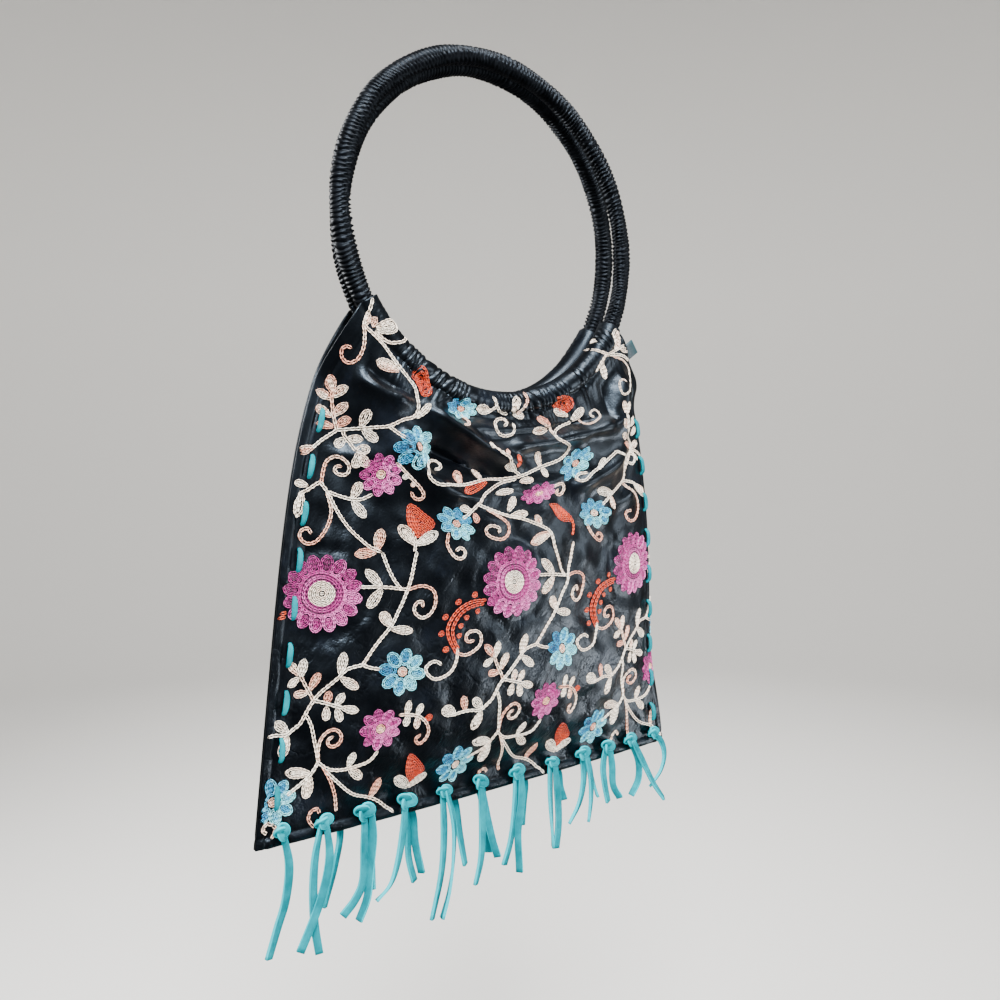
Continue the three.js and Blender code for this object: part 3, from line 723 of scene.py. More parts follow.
# Ripples of the hide, and puckers at the large flowers
RIPPLES = 26
RIPPLE_HEIGHT = 0.085
RIPPLE_LENGTHS = (8.0, 28.0)
RIPPLE_LENGTH = 15.0
RIPPLE_SEED = 11
RIPPLE_SIDES = (2.0, 16.0)
RIPPLE_BOTTOM = (2.0, 14.0)
PUCKER_RISE = 0.7
PUCKER_WIDTH = 15.0
PUCKER_DIP = 0.8
PUCKER_DIP_WIDTH = 3.2


def ripples(x, z, seed):
    """Soft unevenness of the hide: a sum of sine waves of chance lengths and ways, higher where longer."""
    chance = np.random.default_rng(seed)
    height = np.zeros_like(x)
    for _ in range(RIPPLES):
        length = chance.uniform(*RIPPLE_LENGTHS)
        way = chance.uniform(0, math.pi)
        start = chance.uniform(0, 2 * math.pi)
        along = x * math.cos(way) + z * math.sin(way)
        height += np.sin(along * 2 * math.pi / length + start) * length / RIPPLE_LENGTH
    return height * RIPPLE_HEIGHT


def relief(side, across, travel, middle):
    """Height of the leather's small forms above its middle: gathers along the casing that fade with the
    distance from the gathering thread, the thread's own groove, the hide's ripples, the groove inside the
    side welts and the bottom hem, the hem's puff with a pinch at each tassel, and a rise with a dip round it
    at each large flower."""
    below = (np.clip(travel, 0, 1) - 1) * HANG_LENGTH
    above = np.clip(travel - 1, 0, 1) * ROLL_LENGTH
    along = below + above
    slant = along * waves(across, side, GATHER_SLANTS)
    phase = GATHERS * across + waves(across, side, GATHER_WAVES) + slant
    patches = smooth(waves(across, side, GATHER_PATCHES), *GATHER_PATCH_RANGE)
    fade = np.exp(below / GATHER_REACH) * (1 - smooth(above, *GATHER_STOPS))
    strength = mix(GATHER_WEAKEST, 1, patches) * fade * smooth(1 - np.abs(across), *GATHER_SIDES)
    height = GATHER_HEIGHT * (humps(phase, GATHER_POWER) - 0.5) * strength
    height -= GATHER_LINE * bump(along, GATHER_LINE_WIDTH)
    x, z = middle[..., 0], middle[..., 2]
    from_side = np.minimum(x - x[:, :1], x[:, -1:] - x)
    from_bottom = z - z[:1]
    calm = smooth(from_side, *RIPPLE_SIDES) * smooth(from_bottom, *RIPPLE_BOTTOM) * (travel <= 1)
    height += ripples(x, z, RIPPLE_SEED + side) * calm
    grooves = bump(from_side - WELT_WIDTH, WELT_GROOVE) + bump(from_bottom - HEM_WIDTH, HEM_GROOVE)
    height -= WELT_DEPTH * grooves * smooth(-along, *WELT_STARTS)
    pinch = HEM_PINCH * sum(bump(x - row[0], HEM_PINCH_WIDTH) for row in TASSELS)
    puff = bump(from_bottom - HEM_WIDTH * HEM_PUFF_AT, HEM_PUFF_WIDTH) * smooth(from_side, *HEM_PUFF_SIDES)
    height += (HEM_PUFF - pinch) * puff
    if side == FRONT:
        for shift_x, shift_z in TILE_SHIFTS:
            far = np.hypot(x - ASTER_X - shift_x, z - ASTER_Z - shift_z)
            dip = PUCKER_DIP * bump(far - ASTER_RIM, PUCKER_DIP_WIDTH)
            height += (PUCKER_RISE * bump(far, PUCKER_WIDTH) - dip) * calm
    return height


# Counts of stations: at a welt and between the welts, then in the hem, up the hang and round the roll
ACROSS_STEPS = {FRONT: (12, 262), BACK: (10, 190)}
UP_STEPS = {FRONT: (8, 122, 34), BACK: (6, 90, 30)}
WELT_STATIONS = 8.0
HEM_STATIONS = 6.0
CROWDING = 0.45


def stations(side):
    """Places across and along a panel: close together at the welts, the hem and the gathers."""
    edge_count, inner_count = ACROSS_STEPS[side]
    border = WELT_STATIONS / BOTTOM_HALF
    edge = np.linspace(-1, -1 + border, edge_count + 1)[:-1]
    inner = np.linspace(-1 + border, 1 - border, inner_count + 1)
    hem_count, hang_count, roll_count = UP_STEPS[side]
    hem = np.linspace(0, HEM_STATIONS / HANG_LENGTH, hem_count + 1)[:-1]
    share = np.linspace(0, 1, hang_count + 1)
    hang = mix(hem[-1] + hem[1], 1, share * (1 + CROWDING * (1 - share)))
    roll = 1 + np.linspace(0, 1, roll_count + 1)[1:]
    return np.concatenate([edge, inner, -edge[::-1]]), np.concatenate([hem, hang, roll])


def outward(grid, side):
    """Normals of a panel's grid: the cross product of its row and column differences, turned to face out."""
    across = np.gradient(grid, axis=1)
    along = np.gradient(grid, axis=0)
    return unit(np.cross(across, along)) * -side


def leather_grid(side):
    """A panel's stations, its leather's middle points, its outer face and the face's normals."""
    columns, rows = stations(side)
    across, travel = np.meshgrid(columns, rows)
    middle = leather_middle(side, across, travel)
    height = relief(side, across, travel, middle)
    shaped = middle + outward(middle, side) * height[..., None]
    normal = outward(shaped, side)
    return columns, rows, shaped, shaped + normal * LEATHER / 2, normal


PANELS = {side: leather_grid(side) for side in (FRONT, BACK)}


def add_panel(name, side, node):
    """A panel of leather as a thick sheet, from its grid; the back one is turned to face outwards."""
    _, _, shaped, _, _ = PANELS[side]
    rows, columns = shaped.shape[:2]
    quads = grid_quads(rows, columns)
    if side == BACK:
        quads = quads[:, ::-1]
    piece = add_piece(name, shaped.reshape(-1, 3), quads, black_leather)
    thicken(piece, LEATHER)
    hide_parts(node)
    return piece


front_leather = add_panel("front_leather", FRONT, "front_panel")
back_leather = add_panel("back_leather", BACK, "back_panel")


def read_grid(grid, rows, columns, travel, across):
    """Straight blend of the four grid points round each place."""
    row = np.interp(travel, rows, np.arange(len(rows)))
    column = np.interp(across, columns, np.arange(len(columns)))
    r = np.clip(row.astype(int), 0, len(rows) - 2)
    c = np.clip(column.astype(int), 0, len(columns) - 2)
    up = (row - r)[:, None]
    over = (column - c)[:, None]
    low = mix(grid[r, c], grid[r, c + 1], over)
    high = mix(grid[r + 1, c], grid[r + 1, c + 1], over)
    return mix(low, high, up)


FIT_STEPS = 18


def place_on_panel(side, x, z):
    """Across and travel of a place seen from the front: on the roll from the angle and distance round the
    ring's centre, and below it by stepping across until x fits."""
    ring_x = x - RING_SHIFT[side]
    down = -(z + RING_CENTRE_DEPTH)
    reach = (np.hypot(ring_x, down) - RING_RADIUS) / CASING_MIDDLE
    turn = np.arccos(np.clip(reach, -1, 1))
    rolled = reach < math.cos(CASING_LEAVES_AT)
    across = np.clip(x / BOTTOM_HALF, -1, 1)
    for _ in range(FIT_STEPS):
        top = casing_top(side, across)
        up = share_up(across, top, z)
        across = across + (x - hanging_x(side, across, up, top)) / BOTTOM_HALF
    on_roll = np.arctan2(ring_x, down) / CASING_COVER
    travel = 1 + (turn - CASING_LEAVES_AT) / CASING_ROLL
    return np.where(rolled, on_roll, across), np.where(rolled, travel, up)


# Rings bound with cord. Rows of waves give height, rate, start and what the side adds to the start
WRAPS = 246
WRAP_STEPS = 8
RING_SIDES = 28
CORE_RADIUS = 4.2
WRAP_RISE = 1.15
WRAP_POWER = 0.7
WRAP_WAVES = [(0.6, 5, 0, 1), (0.3, 17, 2, 0), (0.09, 53, 0, 0)]
WRAP_MEAN = 0.82
WRAP_CHANGES = [(0.18, 12.9, 0, 0)]
WRAP_BEND = 0.7
WRAP_KINK = 0.2
KINK_WAVES = [(2.5, 23, 0, 0)]
RIDGE_RISE = 1.6
RIDGE_TURN = math.radians(128)
RIDGE_WIDTH = 0.36
RIDGE_WAVES = [(0.22, 9, 0, 0)]
RIDGE_ZIGZAG = 0.3
RIDGE_SLANT = 0.8
RIDGE_IN_CASING = 0.5
RIDGE_EASE = 0.15
GROOVE_DEPTH = 0.45
GROOVE_AT = 0.55
GROOVE_WIDTH = 0.16


def add_ring(name, side, node):
    """A ring bound with cord: a torus whose wire radius rises and falls with each wrap, slanted, a little
    uneven and each of its own height. A ridge of knots with a groove on both its sides wavers along the
    inner side of the ring, and is lower inside the casing."""
    around = np.arange(WRAPS * WRAP_STEPS) * 2 * math.pi / (WRAPS * WRAP_STEPS)
    wire = np.arange(RING_SIDES) * 2 * math.pi / RING_SIDES
    angle, turn = np.meshgrid(around, wire, indexing="ij")
    from_ridge = turn - RIDGE_TURN - waves(angle, side, RIDGE_WAVES)
    kink = WRAP_KINK * np.sin(2 * from_ridge + waves(angle, side, KINK_WAVES))
    bent = WRAP_BEND * np.sin(from_ridge) + kink
    wrap = WRAPS * angle / (2 * math.pi) + waves(angle, side, WRAP_WAVES) + bent
    cords = humps(wrap, WRAP_POWER) * (WRAP_MEAN + waves(np.floor(wrap), side, WRAP_CHANGES))
    off_ridge = half_turn(from_ridge + RIDGE_ZIGZAG * np.sin(2 * math.pi * wrap))
    knots = humps(wrap + 0.5 + RIDGE_SLANT * off_ridge, WRAP_POWER)
    bare = smooth(np.abs(half_turn(angle)), CASING_COVER, CASING_COVER + RIDGE_EASE)
    ridge = RIDGE_RISE * bump(off_ridge, RIDGE_WIDTH) * knots * mix(RIDGE_IN_CASING, 1, bare)
    groove = GROOVE_DEPTH * bump(np.abs(off_ridge) - GROOVE_AT, GROOVE_WIDTH)
    radius = CORE_RADIUS + WRAP_RISE * cords + ridge - groove
    points = ring_point(side, angle, radius, turn)
    quads = grid_quads(len(around), RING_SIDES, wrap_rows=True, wrap_columns=True)
    if side == FRONT:
        quads = quads[:, ::-1]
    piece = add_piece(name, points.reshape(-1, 3), quads, bound_cord)
    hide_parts(node)


add_ring("front_ring_binding", FRONT, "front_ring")
add_ring("back_ring_binding", BACK, "back_ring")

# Side laces. A strip's section is its half width, its half thickness and the softness of its corners
LACE_STRIP = (1.5, 0.8, 0.75)
LACE_INSET = 8.2
LACE_FIRST_Z = -189.0
LACE_HOLE_SPACING = 11.5
LACE_HOLES = 18
LACE_TAIL = 0.25
LACE_STEPS = 22
LACE_GAP = 0.4
LACE_FACE = PANEL_GAP / 2 + LEATHER + LACE_GAP + LACE_STRIP[1]
LACE_BOW = 0.25
LACE_SQUARENESS = 8
LACE_WANDER = 0.25
LACE_WANDER_RATE = 2.3
LACE_PINCH = 0.5
LACE_PINCH_POWER = 3
LACE_EDGE_HIGHLIGHT = 0.3


def add_lace(name, hand, node):
    """A running lace: y swings from face to face between holes as one minus a high power of the place
    between two holes, bowed a little, and x keeps a set way in from the side edge, wandering a little. The
    lace narrows at the holes."""
    count = (LACE_HOLES + 1) * LACE_STEPS
    place = np.linspace(-LACE_TAIL, LACE_HOLES - 1 + LACE_TAIL, count)
    z = LACE_FIRST_Z - LACE_HOLE_SPACING * place
    between = place - np.floor(place)
    from_middle = np.abs(2 * between - 1)
    face = np.where(np.floor(place) % 2 == 0, FRONT, BACK)
    bow = 1 + LACE_BOW * np.sin(math.pi * between)
    y = face * LACE_FACE * bow * (1 - from_middle ** LACE_SQUARENESS)
    x = side_edge(hand, z) - hand * LACE_INSET + LACE_WANDER * np.sin(place * LACE_WANDER_RATE + hand)
    flat = np.stack([x, y - forward(x, z), z], axis=1)
    aside = np.array([0.5, 0, 0])
    wide_way = curled(flat + aside) - curled(flat - aside)
    girth = 1 - LACE_PINCH * from_middle ** LACE_PINCH_POWER
    points, quads, fan, edges = sweep(curled(flat), wide_way, strip_section(*LACE_STRIP), girth=girth)
    # the edge values, scaled down, set the painted highlight on the lace's cut edges
    piece = add_piece(name, points, quads, turquoise_suede, fan, {"edge": edges * LACE_EDGE_HIGHLIGHT})
    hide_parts(node)
    return piece


laces = [
    add_lace("left_lace_suede", -1, "left_lace"),
    add_lace("right_lace_suede", 1, "right_lace"),
]

# Tassels: their knots, the turns behind the back panel and the hanging ends
BACKWARD = np.array([0, 1.0, 0])
KNOT_STRIP = (2.0, 0.85, 0.5)
KNOT_RISE = 7.8
KNOT_DEPTH = 5.5
KNOT_GAP = 0.3
KNOT_FACE = PANEL_GAP / 2 + LEATHER + KNOT_GAP
KNOT_STEPS = 72
KNOT_INSET_X = 2.0
KNOT_INSET_Z = 1.9
KNOT_WEAVE = 1.5
KNOT_LEAN = 0.5
KNOT_ROLL = 0.45
TREFOIL_X = 2.73
TREFOIL_Z = 2.55
TURN_STRIP = (3.0, 0.9, 0.6)
TURN_STEPS = 9
TURN_HALF_LENGTH = 4.3
TURN_STAND = 2.4
TURN_BOW = 1.6
TURN_LEAN = 0.6
END_STRIP = (2.05, 0.85, 0.2)
END_STEPS = 7
END_SWAY = 0.5
END_SWAY_RATE = 5
END_TURN = 0.5
END_TWIST = 1.3
END_NECK = 0.72
END_WIDENS = (0.0, 0.3)


def tassel_end(depth, points):
    """A hanging strip: a smooth curve through its points, narrow at the top, that sways a little in depth,
    and whose flat side turns slowly about the curve from a chance start."""
    flat_path = smooth_path(points, END_STEPS)
    share = np.linspace(0, 1, len(flat_path))
    sway = END_SWAY * np.sin(share * END_SWAY_RATE + depth)
    path = np.stack([flat_path[:, 0], depth + sway * share, flat_path[:, 1]], axis=1)
    ahead = unit(np.gradient(path, axis=0))
    level = unit(np.cross(ahead, BACKWARD))
    toward = np.cross(ahead, level)
    turn = rng.uniform(-END_TURN, END_TURN) + rng.uniform(-END_TWIST, END_TWIST) * share
    wide_way = level * np.cos(turn)[:, None] + toward * np.sin(turn)[:, None]
    girth = mix(END_NECK, 1, smooth(share, *END_WIDENS))
    return sweep(path, wide_way, strip_section(*END_STRIP), girth=girth)


def tassel_knot(x, z, width, height):
    """An overhand knot: a flat strip along a trefoil, whose x is sin t + 2 sin 2t, z is cos t - 2 cos 2t,
    and y goes over and under with sin 3t, begun at a chance place and leant by chance."""
    t = np.linspace(0, 2 * math.pi, KNOT_STEPS, endpoint=False) + rng.uniform(0, 2 * math.pi)
    lean = rng.uniform(-KNOT_LEAN, KNOT_LEAN)
    flat_x = (np.sin(t) + 2 * np.sin(2 * t)) / TREFOIL_X * (width / 2 - KNOT_INSET_X)
    flat_z = (np.cos(t) - 2 * np.cos(2 * t)) / TREFOIL_Z * (height / 2 - KNOT_INSET_Z)
    knot_x, knot_z = turned(flat_x, flat_z, lean)
    knot_y = -KNOT_FACE - KNOT_DEPTH / 2 - KNOT_WEAVE * np.sin(3 * t)
    path = np.stack([x + knot_x, knot_y, z + knot_z], axis=1)
    ahead = np.roll(path, -1, 0) - np.roll(path, 1, 0)
    wide_way = np.cross(unit(ahead), BACKWARD) + KNOT_ROLL * BACKWARD
    return sweep(path, wide_way, strip_section(*KNOT_STRIP), closed=True)


def back_turn(x, z):
    """The strip's flat turn behind the back panel: a short band, bowed as a fourth power, beside the hole."""
    share = np.linspace(-1, 1, TURN_STEPS)
    y = KNOT_FACE + TURN_STAND - TURN_BOW * share ** 4
    path = np.stack([x + TURN_HALF_LENGTH * share, y, z + TURN_LEAN * share], axis=1)
    wide_way = np.tile([0, 0, 1.0], (len(path), 1))
    return sweep(path, wide_way, strip_section(*TURN_STRIP))


def add_tassel(number, row):
    """A tassel: its knot in front, its turn behind and its hanging ends, in one piece."""
    x, width, height, ends = row
    z = float(bottom_edge(x / BOTTOM_HALF)) + KNOT_RISE
    parts = [tassel_knot(x, z, width, height), back_turn(x, z)]
    parts += [tassel_end(depth, points) for depth, points in ends]
    points, quads, fan, edges = joined(parts)
    node = f"tassel_{number:02d}"
    # the edge values set the painted highlight on the strips' cut edges
    piece = add_piece(f"{node}_suede", points, quads, turquoise_suede, fan, {"edge": edges})
    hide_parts(node)
    return piece


tassels = [add_tassel(number + 1, row) for number, row in enumerate(TASSELS)]

# Label
LABEL_LENGTH = 12.5
LABEL_THICK = 0.4
LABEL_BEHIND = 5.0
LABEL_PAST = 7.5
LABEL_UP = 0.95
LABEL_INSIDE = LEATHER / 2 + 1.5
LABEL_FOLD = 0.38
LABEL_LINE = (LABEL_PAST - 1.5, LABEL_PAST - 0.9)
LABEL_LEAN = math.radians(24)
LABEL_SWING = math.radians(28)
LABEL_STEP = 0.004
LABEL_FOLD_STEPS = 9
LABEL_ROWS = 31
LABEL_COLUMNS = 13


def add_label():
    """A plain ribbon folded in two: out from behind the panel's right edge, round a half circle, and back.
    It lies along the edge, leant in the leather's plane and then swung out of it."""
    places = np.array([LABEL_UP, LABEL_UP + LABEL_STEP, LABEL_UP - LABEL_STEP])
    edge, above, below = leather_middle(FRONT, np.full(3, 1.0), places)
    inner = leather_middle(FRONT, np.array([1.0 - LABEL_STEP]), places[:1])[0]
    along = unit(above - below)
    normal = unit(np.cross(edge - inner, along))
    normal = normal * np.sign(-normal[1])
    out = unit(np.cross(along, normal))
    out = out * np.sign(out[0])
    along, out = turned(along, out, LABEL_LEAN)
    normal, out = turned(normal, out, LABEL_SWING)
    turn = np.linspace(-math.pi / 2, math.pi / 2, LABEL_FOLD_STEPS)
    fold = LABEL_PAST - LABEL_FOLD + LABEL_FOLD * np.cos(turn)
    reach = np.concatenate([[-LABEL_BEHIND], fold, [-LABEL_BEHIND]])
    layer = np.concatenate([[-LABEL_FOLD], LABEL_FOLD * np.sin(turn), [LABEL_FOLD]])
    rows = np.linspace(0, len(reach) - 1, LABEL_ROWS)
    reach, layer = (np.interp(rows, np.arange(len(known)), known) for known in (reach, layer))
    length = np.linspace(-LABEL_LENGTH / 2, LABEL_LENGTH / 2, LABEL_COLUMNS)
    ribbon = edge - normal * LABEL_INSIDE + reach[:, None] * out + layer[:, None] * normal
    points = ribbon[:, None] + length[None, :, None] * along
    quads = grid_quads(LABEL_ROWS, LABEL_COLUMNS)
    values = {"edge": np.repeat(smooth(reach, *LABEL_LINE), LABEL_COLUMNS)}
    piece = add_piece("side_label_ribbon", points.reshape(-1, 3), quads, woven_label, values=values)
    thicken(piece, LABEL_THICK)
    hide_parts("side_label")
    return piece


label_ribbon = add_label()

# Embroidery chart in millimetres, x to the right and z up, as the front shows it
# One repeat of the lower pattern, laid three times. Stems: thread and points
TILE_STEMS = [
    ("ivory", [(-87, -277.5), (-76, -278), (-63.5, -280)]),
    ("ivory", [(-63.5, -280), (-61, -271), (-59, -261)]),
    ("ivory", [(-67, -279.5), (-71, -274), (-75.5, -261)]),
    ("peach", [(-63.5, -280), (-56, -278.5), (-50.5, -281), (-49.5, -287), (-52, -293), (-57, -295),
               (-60.5, -291), (-59, -287), (-56, -286.5), (-56, -289)]),
    ("ivory", [(-63.5, -280), (-68, -290), (-73, -299), (-81, -308), (-87, -316.5)]),
    ("ivory", [(-87, -316.5), (-83, -318.5), (-78.5, -319.5)]),
    ("ivory", [(-87, -316.5), (-95, -318), (-98.5, -321.5), (-110.5, -332.5), (-117, -343.5)]),
    ("ivory", [(-110.5, -332.5), (-104, -334.5), (-97, -337)]),
    ("peach", [(-110.5, -332.5), (-113, -327), (-116, -320)]),
    ("ivory", [(-114, -339), (-111.5, -345), (-110, -354), (-108.5, -363.5)]),
    ("ivory", [(-117, -343.5), (-123.5, -348), (-130, -347), (-140, -348.5)]),
    ("peach", [(-108.5, -363.5), (-108.5, -356), (-106, -350), (-101, -347.5), (-97, -351), (-98.5, -356),
               (-103, -356.5), (-104, -353), (-101.5, -351.5)]),
    ("ivory", [(-108.5, -363.5), (-112, -369), (-118, -374), (-124, -377.5)]),
    ("ivory", [(-108.5, -363.5), (-103, -368), (-93, -369.5), (-83, -368), (-78.5, -362)]),
    ("peach", [(-68, -344), (-63, -344.5), (-57, -346.5), (-52.5, -351.5), (-51.5, -357), (-55, -362),
               (-58, -359), (-56, -356.5)]),
    ("peach", [(-106, -366), (-102, -374), (-99, -383), (-98, -391)]),
    ("ivory", [(-104, -369), (-99, -374.5), (-89, -384), (-76, -390), (-66, -399)]),
    ("peach", [(-110, -397), (-113, -392), (-111, -388), (-108, -387.5), (-107, -390)]),
    ("coral", [(-123, -288), (-133, -289), (-140, -294), (-144, -301), (-143.5, -308), (-140, -315)]),
    ("coral", [(-124, -290), (-133, -291.5), (-138.5, -296), (-141.5, -302), (-141, -308), (-138.5, -313)]),
]
# The scrolls under the coral spray, which fall outside the first repeat
SPRAY_STEMS = [
    ("peach", [(-140, -315), (-133, -317), (-125, -312), (-126, -305), (-133, -305), (-133, -310),
               (-129, -309.5)]),
    ("ivory", [(-139, -313), (-139.5, -319), (-143, -325), (-152, -327.5), (-157, -322), (-152, -318),
               (-148.5, -320)]),
]
# Leaves: thread, foot x, z, tip x, z, width
TILE_LEAVES = [
    ("ivory", -77, -277.5, -84.5, -268.5, 5.2),
    ("ivory", -77, -279, -84, -289, 5.5),
    ("ivory", -72.5, -298, -78, -290, 6.0),
    ("ivory", -72, -299.5, -61, -301.5, 5.0),
    ("ivory", -98, -320, -95.5, -309, 5.2),
    ("ivory", -97.5, -322, -89, -328.5, 5.2),
    ("peach", -104.5, -334.5, -102.5, -328, 4.6),
    ("ivory", -100, -335.5, -96, -329.5, 4.6),
    ("ivory", -97.3, -337, -88.5, -340, 4.8),
    ("ivory", -104.4, -336, -105, -343.5, 4.6),
    ("ivory", -99.8, -337, -97.5, -345, 4.6),
    ("peach", -112, -327, -107, -318, 4.6),
    ("peach", -113, -328.5, -120.5, -329, 4.4),
    ("ivory", -116, -320, -114, -311, 4.8),
    ("ivory", -117, -320.5, -123, -324.5, 4.6),
    ("peach", -117, -319, -122.5, -312, 4.6),
    ("ivory", -123, -347, -129.5, -340, 5.4),
    ("ivory", -123, -349, -127, -359, 6.2),
    ("ivory", -139, -348, -147, -343.5, 7.0),
    ("peach", -133, -346.5, -135, -338, 4.6),
    ("ivory", -112.5, -368.5, -125, -366, 6.2),
    ("ivory", -112.5, -370, -114.5, -382, 6.2),
    ("ivory", -93, -368.5, -90, -360.5, 4.8),
    ("ivory", -92.5, -370, -84.5, -376.5, 5.2),
    ("peach", -78.5, -388.5, -74.5, -377.5, 5.2),
    ("ivory", -56, -388, -66, -378.5, 6.5),
    ("ivory", -56, -388, -45.5, -381, 6.0),
    ("ivory", -64.5, -344.3, -63, -337, 4.2),
    ("ivory", -59, -345.5, -56, -339.3, 4.2),
    ("ivory", -63.5, -344.8, -64.7, -351, 4.2),
    ("peach", -58.6, -346.2, -58.6, -353, 4.2),
    ("coral", -54.5, -348.8, -49.5, -346.5, 4.2),
]
# Filled buds: thread and corners
TILE_BUDS = [
    ("coral", [(-56, -385.5), (-60.5, -376), (-59.5, -367), (-52.5, -373), (-48.5, -379.5)]),
]
# Dots: thread, x, z, radius
TILE_DOTS = [
    ("coral", -129.5, -285.0, 2.2),
    ("coral", -138.6, -288.2, 2.2),
    ("coral", -145.6, -295.6, 2.2),
    ("coral", -147.6, -304.3, 2.2),
    ("coral", -145.6, -312.6, 2.2),
    ("coral", -127.8, -293.9, 2.1),
    ("coral", -134.1, -296.6, 2.1),
    ("coral", -137.3, -300.8, 2.1),
    ("coral", -137.9, -306.0, 2.1),
]
# Flowers: kind, x, z, half width, half height, turn in degrees
TILE_FLOWERS = [
    ("aster", ASTER_X, ASTER_Z, 19.5, 19.5, 0),
    ("bluet", -67, -321.8, 12.5, 12.5, 10),
    ("pink", -77.5, -350.5, 11.2, 11.2, 0),
    ("bluet", -131, -379.5, 12.0, 12.0, 30),
]

